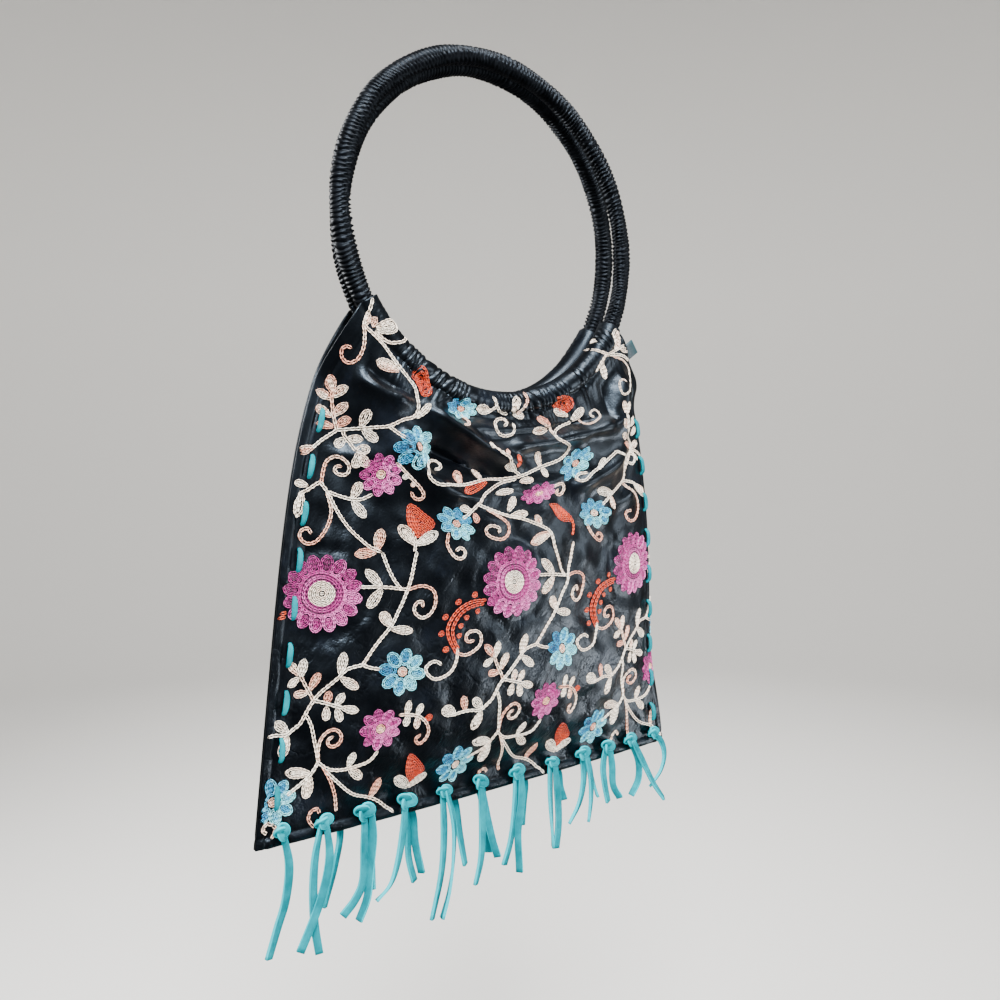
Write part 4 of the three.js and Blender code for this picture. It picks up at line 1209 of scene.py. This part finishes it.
# The upper part, which is laid once
TOP_STEMS = [
    ("ivory", [(-103.5, -225.5), (-100, -231), (-95, -241.5), (-89, -250.5), (-81, -258), (-75.5, -261)]),
    ("peach", [(-103, -225.9), (-101.7, -219.3), (-99.9, -214.9), (-95.6, -212.5), (-91, -214.3),
               (-88.9, -218.1), (-90.4, -221.9), (-94.1, -222), (-96.4, -219.3), (-94.4, -216.9),
               (-92.7, -217.6)]),
    ("ivory", [(-103.5, -225.5), (-108, -228), (-113.5, -231)]),
    ("ivory", [(-100, -230.5), (-90, -234), (-84, -234.5), (-79, -232)]),
    ("peach", [(-100.5, -231), (-98.5, -240), (-101, -248), (-106, -254.5), (-111, -255.5),
               (-114.5, -252.5), (-114, -249), (-110, -248), (-108.5, -250.5)]),
    ("peach", [(-94.2, -199.4), (-95.7, -192), (-96.1, -184.4), (-96, -180.5)]),
    ("ivory", [(-94.2, -199.6), (-103.5, -205.5), (-107, -208.5)]),
    ("ivory", [(-94.2, -199.6), (-84.7, -198.8), (-77.5, -198.1), (-71.8, -197.5), (-65, -194.3),
               (-58.1, -192.2), (-56.4, -185), (-57.4, -178.1), (-62.5, -172.6), (-67.9, -166.3),
               (-75.1, -157.9), (-81.2, -152), (-85.7, -147.5), (-83.2, -142.5), (-82, -136)]),
    ("ivory", [(-91.8, -199.8), (-91.2, -202.8), (-89.4, -205.4), (-86.9, -210.3)]),
    ("ivory", [(-71.8, -197.5), (-68.4, -200.4), (-64.5, -203.6)]),
    ("peach", [(-85.7, -148), (-84.6, -154.1), (-85.1, -160.3), (-86.7, -164.7), (-89.6, -166.8),
               (-93, -164.6), (-94.6, -161), (-93.1, -158.1), (-90.1, -159.2)]),
    ("ivory", [(-79.5, -151.3), (-75.3, -154.7), (-70.6, -156.4), (-65.4, -155.7), (-62, -153.5)]),
    ("ivory", [(-58.5, -257), (-59, -261)]),
    ("peach", [(-67.3, -216.3), (-63.8, -220.2), (-60.2, -224.1), (-55.5, -229.4), (-53.6, -233.7),
               (-57.9, -234.7), (-60.2, -231.3)]),
    ("peach", [(-31, -191), (-27.5, -193), (-28.5, -196.5), (-33, -197)]),
    ("ivory", [(-12.2, -188.5), (-8.3, -185.7), (-10.2, -181.6)]),
    ("ivory", [(-8.3, -185.7), (-2.4, -189.6), (0.7, -189.5)]),
    ("peach", [(7.2, -189.6), (12.7, -182.8), (12.4, -178.6)]),
    ("ivory", [(45.9, -192.6), (42.6, -194.9), (36, -197.3), (30, -201), (31, -203.2), (37.3, -204.1),
               (42.1, -206.2), (41, -210.6), (35.2, -214.4), (25.8, -217.3), (16.7, -220.2), (6.3, -223.4),
               (-3.1, -225), (-15.6, -226.3), (-35.7, -228), (-44.9, -227.9), (-50.6, -225.8),
               (-54.7, -221.1), (-53.1, -217.4), (-49, -214.8), (-44.2, -215.8), (-43.5, -219.4),
               (-47.4, -219.6)]),
    ("fine", [(51.7, -190.2), (54.2, -194.1), (59.5, -193.3), (66.4, -189.1), (64.5, -185.3), (61, -185.7),
              (59.1, -188.1), (62.2, -189.4)]),
    ("ivory", [(3.4, -195.2), (1.7, -199.9), (-4.4, -201.4), (-10.5, -198.4), (-7.7, -193.6),
               (-2.5, -192.5), (-0.9, -195.2), (-4.2, -197.2)]),
    ("peach", [(29.2, -195.5), (29.8, -200.8)]),
    ("ivory", [(-15.5, -206.9), (-9.9, -211), (-4.8, -213.4), (0.1, -218.7), (5.2, -222.4)]),
    ("ivory", [(2.6, -225.1), (-8.6, -228.5), (-20.5, -234), (-24, -238), (-29.4, -243.1), (-33, -245.2)]),
    ("ivory", [(-24, -238), (-17.7, -240.9), (-8.1, -244.1), (4.8, -247.1), (17.4, -250.8), (25.1, -254.8),
               (27.6, -261.5)]),
    ("peach", [(-18.4, -241.3), (-12.2, -245), (-5.3, -249.5), (-4.7, -254.4), (-9.4, -257.2),
               (-17.1, -255.3), (-19.8, -251.7), (-17.3, -249), (-11.3, -250.9), (-11.4, -253.2)]),
    ("peach", [(28.9, -229.1), (35.9, -227.7), (37.7, -231.4), (34.6, -234.6), (31.2, -233.2),
               (33.1, -231.3)]),
    ("coral", [(42.5, -248.5), (44, -253), (42.7, -257.4)]),
    ("ivory", [(79, -209.6), (69, -215.9), (57.9, -222.3), (49.9, -227.1), (45.4, -226.3), (48, -223),
               (54, -222.5)]),
    ("ivory", [(79, -209.6), (86, -213), (91, -220), (88.9, -227.7), (75, -236.4), (68, -241)]),
    ("ivory", [(89.5, -226.9), (101.3, -229), (112, -234)]),
    ("peach", [(89.4, -228.2), (95, -232.6), (103.6, -238.5), (105.3, -245.8), (99.7, -251.5),
               (93.3, -250.9), (91.1, -246.4), (96.6, -245.4)]),
    ("ivory", [(84.6, -187.1), (84.9, -190), (87, -196), (93, -201), (98, -205), (95.6, -214.3),
               (90.5, -222)]),
    ("ivory", [(98.7, -207.3), (104.5, -209.2), (112, -212.4)]),
    ("ivory", [(98, -207), (101.7, -211.2), (105.1, -214.2)]),
    ("ivory", [(91.6, -217), (93, -211.5), (99, -210.5), (102.5, -212.5), (100.9, -216.9), (97.1, -216)]),
    ("ivory", [(74.3, -152.2), (88.1, -150.9), (98, -153.5), (103, -158)]),
    ("fine", [(79.8, -152.2), (85.2, -153.2), (92, -154.4), (96.6, -158.9), (95.5, -165.3), (88.5, -171.5),
              (83, -175.9), (81.3, -172.1), (81.9, -168.6), (84.1, -166.6), (86, -168)]),
    ("ivory", [(64, -149.9), (67.7, -150.7), (73.1, -151.9), (81.7, -149.1), (86.6, -146.5)]),
    ("ivory", [(73.1, -151.9), (68.9, -157.1), (65.1, -162.6)]),
    ("peach", [(-41, -252.9), (-41.7, -259), (-37.8, -265.5), (-33.5, -266), (-32, -262.5), (-35, -260.5),
               (-37, -262)]),
    ("peach", [(56.2, -252.5), (59.8, -258.2), (66.8, -262.3), (69.5, -259.9), (65.8, -257.4),
               (63.5, -259)]),
    ("peach", [(-131, -398), (-129, -393), (-133, -390), (-136, -392.5), (-133.5, -395)]),
]
TOP_LEAVES = [
    ("ivory", -113, -230, -116, -243, 6.0),
    ("ivory", -110, -227, -117.5, -225, 4.4),
    ("ivory", -88, -234, -83.5, -225, 5.4),
    ("ivory", -88, -235, -82, -244, 5.4),
    ("peach", -95.9, -180.9, -98.5, -171.5, 6.0),
    ("peach", -96.6, -183.9, -105.1, -179.8, 5.0),
    ("peach", -95.3, -183.2, -90.2, -177, 5.0),
    ("peach", -95.3, -192.3, -89.8, -185.6, 5.0),
    ("peach", -96.8, -193, -105.9, -187.4, 5.0),
    ("peach", -94.2, -197.8, -88.5, -192.6, 5.0),
    ("peach", -96, -198, -105.2, -196.2, 4.6),
    ("peach", -106.6, -208.3, -115.5, -210.7, 5.0),
    ("ivory", -84.1, -197.8, -81.3, -188.5, 5.5),
    ("ivory", -83.5, -199.4, -76.4, -205.7, 5.5),
    ("ivory", -91.2, -203.8, -95.9, -209, 5.5),
    ("ivory", -89.9, -203.8, -82.9, -204.6, 5.0),
    ("ivory", -86.6, -210.3, -80, -208.8, 5.5),
    ("ivory", -86, -211, -86.6, -219, 5.0),
    ("ivory", -85.4, -211.3, -80.8, -218.5, 5.0),
    ("peach", -66.5, -169.6, -79.3, -165.2, 6.5),
    ("ivory", -57.1, -193.1, -49.2, -185.5, 4.0),
    ("ivory", -79.5, -149.6, -67, -147.8, 8.0),
    ("peach", -85.2, -148.3, -82.4, -142, 4.6),
    ("peach", -80.5, -149.1, -80.2, -143.5, 4.0),
    ("ivory", -58.5, -257.5, -66.5, -247.5, 6.6),
    ("ivory", -58, -257.5, -46, -252, 6.2),
    ("peach", -77, -260, -74.5, -249, 6.0),
    ("peach", -77.5, -261, -89, -262, 5.6),
    ("ivory", -11.4, -188.5, -20.8, -186.7, 6.0),
    ("ivory", 3.3, -188, 6.8, -180.1, 6.0),
    ("ivory", 4.8, -189.4, 12.4, -190.7, 4.5),
    ("ivory", 44.2, -189.2, 31.6, -186, 4.6),
    ("ivory", 46.7, -191.5, 54.9, -184.3, 5.5),
    ("peach", 28.8, -195.3, 19.9, -190.6, 5.0),
    ("peach", 27.5, -197.5, 15.4, -199.2, 5.5),
    ("coral", 2.1, -217.6, 3.8, -211.3, 4.6),
    ("ivory", 2, -219.7, -5.1, -216.2, 5.0),
    ("peach", -7.6, -212, -3.6, -209.5, 3.6),
    ("ivory", 20.9, -218.3, 18.3, -208.8, 4.8),
    ("ivory", 22.2, -219.1, 25.2, -225, 4.6),
    ("peach", -33.6, -227, -35.5, -220.3, 6.4),
    ("peach", -19.1, -226, -21, -219.6, 6.4),
    ("coral", -15.8, -227, -33.4, -231.7, 5.4),
    ("ivory", 5.1, -226.5, 14.5, -225.9, 4.0),
    ("ivory", -11, -233, 1, -231, 4.0),
    ("ivory", -4.4, -242.5, 1.8, -234.3, 5.0),
    ("ivory", -3, -245, 8.7, -244.2, 4.6),
    ("ivory", -27.8, -242, -35.5, -238.8, 4.4),
    ("peach", -26.8, -243.1, -24.4, -248.2, 4.0),
    ("peach", 25.1, -255.5, 10, -260.4, 6.5),
    ("peach", 17.4, -250.5, 12.7, -245.2, 4.6),
    ("ivory", 78.7, -234.6, 63, -232, 6.0),
    ("peach", 76.9, -236.4, 78.2, -244.5, 5.5),
    ("ivory", 62, -220.5, 70, -213, 4.0),
    ("ivory", 101, -229.5, 116, -237, 6.0),
    ("ivory", 83.9, -186.5, 82.4, -178.5, 3.4),
    ("ivory", 85.1, -186.8, 86.4, -179.4, 3.4),
    ("peach", 85.7, -195, 81.2, -190, 4.0),
    ("ivory", 98.5, -193.5, 106.5, -187, 4.4),
    ("ivory", 99.5, -199, 107, -193.3, 4.4),
    ("peach", 87, -202, 83.8, -197.3, 4.0),
    ("ivory", 99, -206.5, 107, -202.9, 5.0),
    ("peach", 96.4, -206.5, 87, -204, 4.2),
    ("ivory", 83.2, -148.2, 82.4, -135.6, 9.0),
    ("ivory", 86, -146.8, 97, -146.5, 5.4),
    ("ivory", 70.5, -156.5, 74.1, -166.8, 5.5),
]
TOP_BUDS = [
    ("coral", [(-58, -255), (-62.5, -246), (-61.5, -236.5), (-53.5, -242), (-47.5, -248.5)]),
    ("coral", [(-60.3, -171.8), (-55.3, -166.5), (-50.7, -171.3), (-47.5, -180.8), (-52.9, -182.4),
               (-56.1, -176)]),
    ("coral", [(32.7, -184.5), (34.1, -179), (44.6, -177.7), (48.1, -182.8), (42, -187.8)]),
    ("coral", [(24.7, -239.5), (32.1, -240.1), (43.6, -248.7), (34.7, -249.1)]),
]
TOP_DOTS = [
    ("ivory", -63.4, -222.8, 2.2),
    ("peach", -59.7, -227, 2.0),
    ("ivory", -15.5, -206.9, 2.5),
    ("ivory", 68.8, -144, 2.2),
]
TOP_FLOWERS = [
    ("bluet", -58, -208.3, 12.0, 11.0, 20),
    ("pink", -74.8, -222, 10.2, 11.3, 0),
    ("bluet", -30, -187.7, 10.5, 5.9, 0),
    ("pink", 18.2, -233.2, 13.4, 5.4, 14),
    ("bluet", 47.3, -216.6, 14.8, 7.0, 34),
    ("bluet", -36.5, -247.8, 12.3, 7.5, -38),
    ("bluet", 61.5, -245.8, 13.5, 8.6, -12),
]
# Kinds of flower: full radius, petals, petal's place and half sizes, rings, heart's radius, threads
FLOWER_KINDS = {
    "aster": (19.5, 16, 14.7, 5.0, 3.35, (10.9, 9.6, 8.3, 7.0), 6.4, "orchid", "ivory"),
    "bluet": (12.5, 8, 7.7, 4.9, 3.4, (), 2.8, "sky", "peach"),
    "pink": (11.2, 9, 7.1, 4.3, 2.9, (3.6,), 2.7, "orchid", "peach"),
}

# Stitches. Threads as the chart names them: the dyed thread and the middle of its tones
CHART_THREADS = {
    "ivory": ("ivory", 0.2),
    "fine": ("ivory", 0.36),
    "peach": ("ivory", 0.62),
    "coral": ("coral", 0.4),
    "orchid": ("orchid", 0.5),
    "sky": ("sky", 0.42),
}
STEM_WIDTH = 1.98
STEM_STITCH = 2.6
STEM_STEPS = 8
FINE_WIDTH = 1.4
FILL_WIDTH = 1.6
FILL_STITCH = 2.2
FILL_ROOM = 0.3 * FILL_WIDTH
TONE_DRIFT = 0.16
TONE_DRIFT_LENGTH = 9.0
TONE_SPECKS = 0.05
OVAL_STEPS = 30
OVAL_MIDDLE_ROOM = 0.45 * FILL_WIDTH
OVAL_LINE_LEAST = 0.7
OVAL_LINE = 0.8
LEAF_STEPS = 22
LEAF_FOOT = 0.42
LEAF_WIDEST = 0.58
LEAF_BLUNT = 2.4
LEAF_TIP = 0.05
LEAF_INSET = 0.3
LEAF_MIDDLE_ROOM = 0.5 * FILL_WIDTH
LEAF_TONES = 0.12
BUD_CLOSENESS = 0.8
BUD_STEPS = 6
DOT_SQUEEZE = 0.85
DOT_TURN = 0.6
PETAL_SHADING = 0.3
PETAL_SHADING_WAY = 0.7
PETAL_TONES = 0.15
PETAL_RIM = -0.25
PETAL_DEPTH = 0.3
RING_TONES = (-0.2, 0.25)
sewn = []


def sew(thread, path, width, stitch, tone):
    """Keeps one row of chain stitch along a path: its joints, an even stitch apart, and its thread's tones,
    which drift along the row as a slow sine from a chance start, with chance specks."""
    joints = evenly(np.asarray(path, float), stitch)
    count = len(joints) - 1
    drift = np.sin(np.arange(count) * stitch / TONE_DRIFT_LENGTH + rng.uniform(0, 2 * math.pi))
    tones = np.clip(tone + TONE_DRIFT * drift + rng.normal(0, TONE_SPECKS, count), 0, 1)
    sewn.append((thread, joints, np.full(count, width), tones))


def sew_rows(name, rows, change=0.0):
    """Sews rows that fill a shape in a thread of the chart, with its tone changed by so much."""
    thread, tone = CHART_THREADS[name]
    for row in rows:
        sew(thread, row, FILL_WIDTH, FILL_STITCH, tone + change)


def oval(x, z, half_long, half_wide, turn):
    """A closed oval: cosine along its long way and sine across it, turned."""
    angle = np.linspace(0, 2 * math.pi, OVAL_STEPS + 1)
    over, up = turned(half_long * np.cos(angle), half_wide * np.sin(angle), turn)
    return np.stack([x + over, z + up], axis=1)


def oval_rows(x, z, half_long, half_wide, turn):
    """Rows that fill an oval from its rim inwards, a row's width apart, and a short line in the middle."""
    rows = []
    inset = FILL_WIDTH / 2
    while half_wide - inset > FILL_ROOM:
        rows.append(oval(x, z, half_long - inset, half_wide - inset, turn))
        inset += FILL_WIDTH
    left = half_long - inset + FILL_WIDTH / 2
    if half_wide - inset > -OVAL_MIDDLE_ROOM and left > OVAL_LINE_LEAST:
        way = np.array([math.cos(turn), math.sin(turn)]) * left * OVAL_LINE
        rows.append(np.array([[x, z] - way, [x, z] + way]))
    return rows


def leaf_rows(foot, tip, width):
    """Rows that fill a leaf: along both sides of its outline, which swells as a sine from its foot and is
    rounded off at its tip, then inside it, and down the middle."""
    way = tip - foot
    length = np.linalg.norm(way)
    way = way / length
    over = np.array([-way[1], way[0]])
    share = np.linspace(0, 1, LEAF_STEPS)
    swelling = mix(LEAF_FOOT, 1, np.sin(np.minimum(share / LEAF_WIDEST, 1) * math.pi / 2))
    past = np.maximum(0, (share - LEAF_WIDEST) / (1 - LEAF_WIDEST))
    outline = width / 2 * swelling * np.sqrt(np.maximum(0, 1 - past ** LEAF_BLUNT))
    rows = []
    inset = FILL_WIDTH / 2
    while width / 2 - inset > FILL_ROOM:
        half = np.maximum(outline - inset, LEAF_TIP)
        inner = mix(inset * LEAF_INSET, length - inset, share)
        there = foot + inner[:, None] * way + half[:, None] * over
        back = foot + inner[::-1, None] * way - half[::-1, None] * over
        rows.append(np.concatenate([there, back[1:]]))
        inset += FILL_WIDTH
    if width / 2 - inset > -LEAF_MIDDLE_ROOM:
        rows.append(np.array([foot + way * inset, tip - way * inset]))
    return rows


def bud_rows(corners):
    """Rows that fill a bud: its rounded outline, drawn in towards its middle by a row's width each time."""
    outline = smooth_path(np.concatenate([corners, corners[:1]]), BUD_STEPS)
    middle = corners.mean(axis=0)
    spans = outline - middle
    count = max(1, round(np.linalg.norm(spans, axis=1).max() * BUD_CLOSENESS / FILL_WIDTH))
    return [middle + spans * (1 - (row + 0.5) / count) for row in range(count)]


def sew_flower(kind, x, z, half_width, half_height, turn):
    """A flower: petals filled in ovals round a circle, rings of stitches inside them, and a filled heart;
    the whole is then squeezed to its half width and half height, and turned."""
    radius, petals, reach, half_long, half_wide, rings, heart, thread, heart_thread = FLOWER_KINDS[kind]
    angle = math.radians(turn)
    squeeze = np.array([half_width, half_height]) / radius
    spin = np.array([[math.cos(angle), math.sin(angle)], [-math.sin(angle), math.cos(angle)]])

    def lay(name, path, change):
        sew_rows(name, [(path * squeeze) @ spin + [x, z]], change)

    for petal in range(petals):
        way = 2 * math.pi * (petal + 0.5) / petals
        centre = reach * np.array([math.cos(way), math.sin(way)])
        chance = rng.uniform(-PETAL_TONES, PETAL_TONES)
        shade = PETAL_SHADING * math.sin(way - PETAL_SHADING_WAY) + chance + PETAL_RIM
        for depth, row in enumerate(oval_rows(*centre, half_long, half_wide, way)):
            lay(thread, row, shade + PETAL_DEPTH * depth)
    for number, ring in enumerate(rings):
        lay(thread, oval(0, 0, ring, ring, 0), RING_TONES[number % 2])
    for row in oval_rows(0, 0, heart, heart, 0):
        lay(heart_thread, row, 0.0)


def sew_chart(stems, leaves, buds, dots, flowers, shift):
    """Sews a chart's stems, leaves, buds, dots and flowers, all moved by a shift."""
    shift = np.asarray(shift, float)
    for name, points in stems:
        thread, tone = CHART_THREADS[name]
        width = FINE_WIDTH if name == "fine" else STEM_WIDTH
        stitch = STEM_STITCH * width / STEM_WIDTH
        sew(thread, smooth_path(points + shift, STEM_STEPS), width, stitch, tone)
    for name, foot_x, foot_z, tip_x, tip_z, width in leaves:
        change = rng.uniform(-LEAF_TONES, LEAF_TONES)
        sew_rows(name, leaf_rows(shift + [foot_x, foot_z], shift + [tip_x, tip_z], width), change)
    for name, corners in buds:
        sew_rows(name, bud_rows(corners + shift))
    for name, x, z, radius in dots:
        sew_rows(name, oval_rows(*(shift + [x, z]), radius, radius * DOT_SQUEEZE, DOT_TURN))
    for kind, x, z, half_width, half_height, turn in flowers:
        sew_flower(kind, *(shift + [x, z]), half_width, half_height, turn)


for tile_shift in TILE_SHIFTS:
    sew_chart(TILE_STEMS, TILE_LEAVES, TILE_BUDS, TILE_DOTS, TILE_FLOWERS, tile_shift)
for tile_shift in TILE_SHIFTS[1:]:
    sew_chart(SPRAY_STEMS, [], [], [], [], tile_shift)
sew_chart(TOP_STEMS, TOP_LEAVES, TOP_BUDS, TOP_DOTS, TOP_FLOWERS, (0, 0))

# One chain stitch as two strands: along, out from the middle, height and radius at each place
STRAND = np.array([
    (-0.32, 0.06, 0.02, 0.0),
    (0.02, 0.22, 0.13, 0.155),
    (0.48, 0.32, 0.18, 0.165),
    (0.96, 0.23, 0.14, 0.155),
    (1.30, 0.05, 0.02, 0.0),
])
STRAND_SIDES = 4
SEWN_ACROSS = 0.985
SEWN_FROM = 0.012
SEWN_UP_TO = {FRONT: 1.9, BACK: 0.94}


def chain_stitch():
    """The two strands of a stitch as points (along, over, up), quads and end triangles: each strand is a
    row of square rings round its bowed line, closed to a point at both ends."""
    turn = (np.arange(STRAND_SIDES) + 0.5) * 2 * math.pi / STRAND_SIDES
    points, quads, tips = [], [], []
    for hand in (1, -1):
        start = sum(len(part) for part in points)
        along, over, up, radius = STRAND.T
        ring_over = hand * over[1:-1, None] + radius[1:-1, None] * np.cos(turn)
        ring_up = up[1:-1, None] + radius[1:-1, None] * np.sin(turn)
        ring_along = np.broadcast_to(along[1:-1, None], ring_over.shape)
        rings = np.stack([ring_along, ring_over, ring_up], axis=-1).reshape(-1, 3)
        ends = np.stack([along, hand * over, up], axis=1)[[0, -1]]
        points.append(np.concatenate([rings, ends]))
        quads.append(grid_quads(len(STRAND) - 2, STRAND_SIDES, wrap_columns=True)[:, ::-1] + start)
        side = np.arange(STRAND_SIDES)
        following = (side + 1) % STRAND_SIDES
        last = len(rings) - STRAND_SIDES
        foot = np.full(STRAND_SIDES, len(rings))
        tips.append(np.stack([foot, following, side], axis=1) + start)
        tips.append(np.stack([foot + 1, last + side, last + following], axis=1) + start)
    return np.concatenate(points), np.concatenate(quads), np.concatenate(tips)


def add_embroidery(prefix, side):
    """Lays every sewn row on a panel, one piece to a thread. A stitch runs from joint to joint on the
    leather's outer face: along is the way between them, up is the face's normal and over is across both."""
    columns, rows, _, face, normal = PANELS[side]
    shape, shape_quads, shape_tips = chain_stitch()
    pieces = []
    for thread, finish in THREADS.items():
        mine = [row for row in sewn if row[0] == thread]
        starts = np.concatenate([row[1][:-1] for row in mine])
        ends = np.concatenate([row[1][1:] for row in mine])
        widths = np.concatenate([row[2] for row in mine])
        tones = np.concatenate([row[3] for row in mine])
        if side == BACK:
            starts, ends = starts * [-1, 1], ends * [-1, 1]
        middles = (starts + ends) / 2
        across, travel = place_on_panel(side, middles[:, 0], middles[:, 1])
        inside = (np.abs(across) < SEWN_ACROSS) & (travel > SEWN_FROM) & (travel < SEWN_UP_TO[side])
        starts, ends, widths, tones = starts[inside], ends[inside], widths[inside], tones[inside]
        across, travel = across[inside], travel[inside]
        up = unit(read_grid(normal, rows, columns, travel, across))
        first = read_grid(face, rows, columns, *place_on_panel(side, *starts.T)[::-1])
        second = read_grid(face, rows, columns, *place_on_panel(side, *ends.T)[::-1])
        over = unit(np.cross(up, second - first))
        points = (first[:, None] + (second - first)[:, None] * shape[None, :, :1]
                  + over[:, None] * shape[None, :, 1:2] * widths[:, None, None]
                  + up[:, None] * shape[None, :, 2:] * widths[:, None, None])
        step = (np.arange(len(first)) * len(shape))[:, None, None]
        quads = (shape_quads[None] + step).reshape(-1, 4)
        tips = (shape_tips[None] + step).reshape(-1, 3)
        name = f"{prefix}_{thread}_stitches"
        values = {"tone": np.repeat(tones, len(shape))}
        pieces.append(add_piece(name, points.reshape(-1, 3), quads, finish, tips, values))
    return pieces


front_stitches = add_embroidery("front", FRONT)
back_stitches = add_embroidery("back", BACK)


# Floor and lights
FLOOR_Z = -900.0
FLOOR_RADIUS = 2600.0
FLOOR_BEND = 1500.0
FLOOR_RIM = 4200.0
FLOOR_MIDDLE = 200.0
FLOOR_BEND_STEPS = 14
FLOOR_SIDES = 96


def add_floor():
    """A plain pale floor that curves up all round: a disc, then a quarter circle, then an upright rim, each
    carried round the upright axis. Its reflection is kept off the leather."""
    bend = np.linspace(0, math.pi / 2, FLOOR_BEND_STEPS)
    curve = FLOOR_RADIUS + FLOOR_BEND * np.sin(bend)
    reach = np.concatenate([[FLOOR_MIDDLE], curve, [FLOOR_RADIUS + FLOOR_BEND]])
    height = np.concatenate([[0], FLOOR_BEND * (1 - np.cos(bend)), [FLOOR_RIM]])
    angle = np.arange(FLOOR_SIDES) * 2 * math.pi / FLOOR_SIDES
    x, y = reach[:, None] * np.cos(angle), reach[:, None] * np.sin(angle)
    points = np.stack(np.broadcast_arrays(x, y, FLOOR_Z + height[:, None]), axis=-1)
    quads = grid_quads(len(reach), FLOOR_SIDES, wrap_columns=True)[:, ::-1].tolist()
    mesh = bpy.data.meshes.new("floor")
    mesh.from_pydata((points.reshape(-1, 3) * MM).tolist(), [], [*quads, list(range(FLOOR_SIDES))])
    material, _, _ = new_finish("pale_floor", {"Roughness": 0.9, "Base Color": colour("e4e2de")})
    mesh.materials.append(material)
    mesh.polygons.foreach_set("use_smooth", np.ones(len(mesh.polygons), bool))
    floor = bpy.data.objects.new("floor", mesh)
    floor.visible_glossy = False
    bpy.context.scene.collection.objects.link(floor)


def add_light(name, place, aim, power, size, beam):
    """A square soft light at a place in millimetres, aimed at a point, with a beam that many degrees wide."""
    data = bpy.data.lights.new(name, "AREA")
    data.energy = power
    data.size = size * MM
    data.spread = math.radians(beam)
    light = bpy.data.objects.new(name, data)
    light.location = Vector(place) * MM
    light.rotation_euler = (Vector(aim) - Vector(place)).to_track_quat("-Z", "Y").to_euler()
    bpy.context.scene.collection.objects.link(light)


# Lights: name, place, aim, watts, size, width of the beam in degrees
BAG_MIDDLE = (0, 0, -260)
LIGHTS = [
    ("key", (-500, -800, 600), BAG_MIDDLE, 60, 500, 180),
    ("window", (760, -800, -120), BAG_MIDDLE, 5, 340, 180),
    ("low", (740, -490, -680), BAG_MIDDLE, 0.7, 280, 60),
    ("top", (150, -350, 850), BAG_MIDDLE, 20, 350, 180),
    ("behind", (-700, 900, 300), BAG_MIDDLE, 24, 500, 180),
    ("backdrop", (500, 400, 900), (1900, 2600, -200), 60, 700, 180),
]
SKY_COLOUR = "e8e8e8"
SKY_STRENGTH = 0.15

add_floor()
for light_row in LIGHTS:
    add_light(*light_row)
world = bpy.data.worlds.new("studio")
world.use_nodes = True
sky = world.node_tree.nodes["Background"]
sky.inputs["Color"].default_value = colour(SKY_COLOUR)
sky.inputs["Strength"].default_value = SKY_STRENGTH
bpy.context.scene.world = world
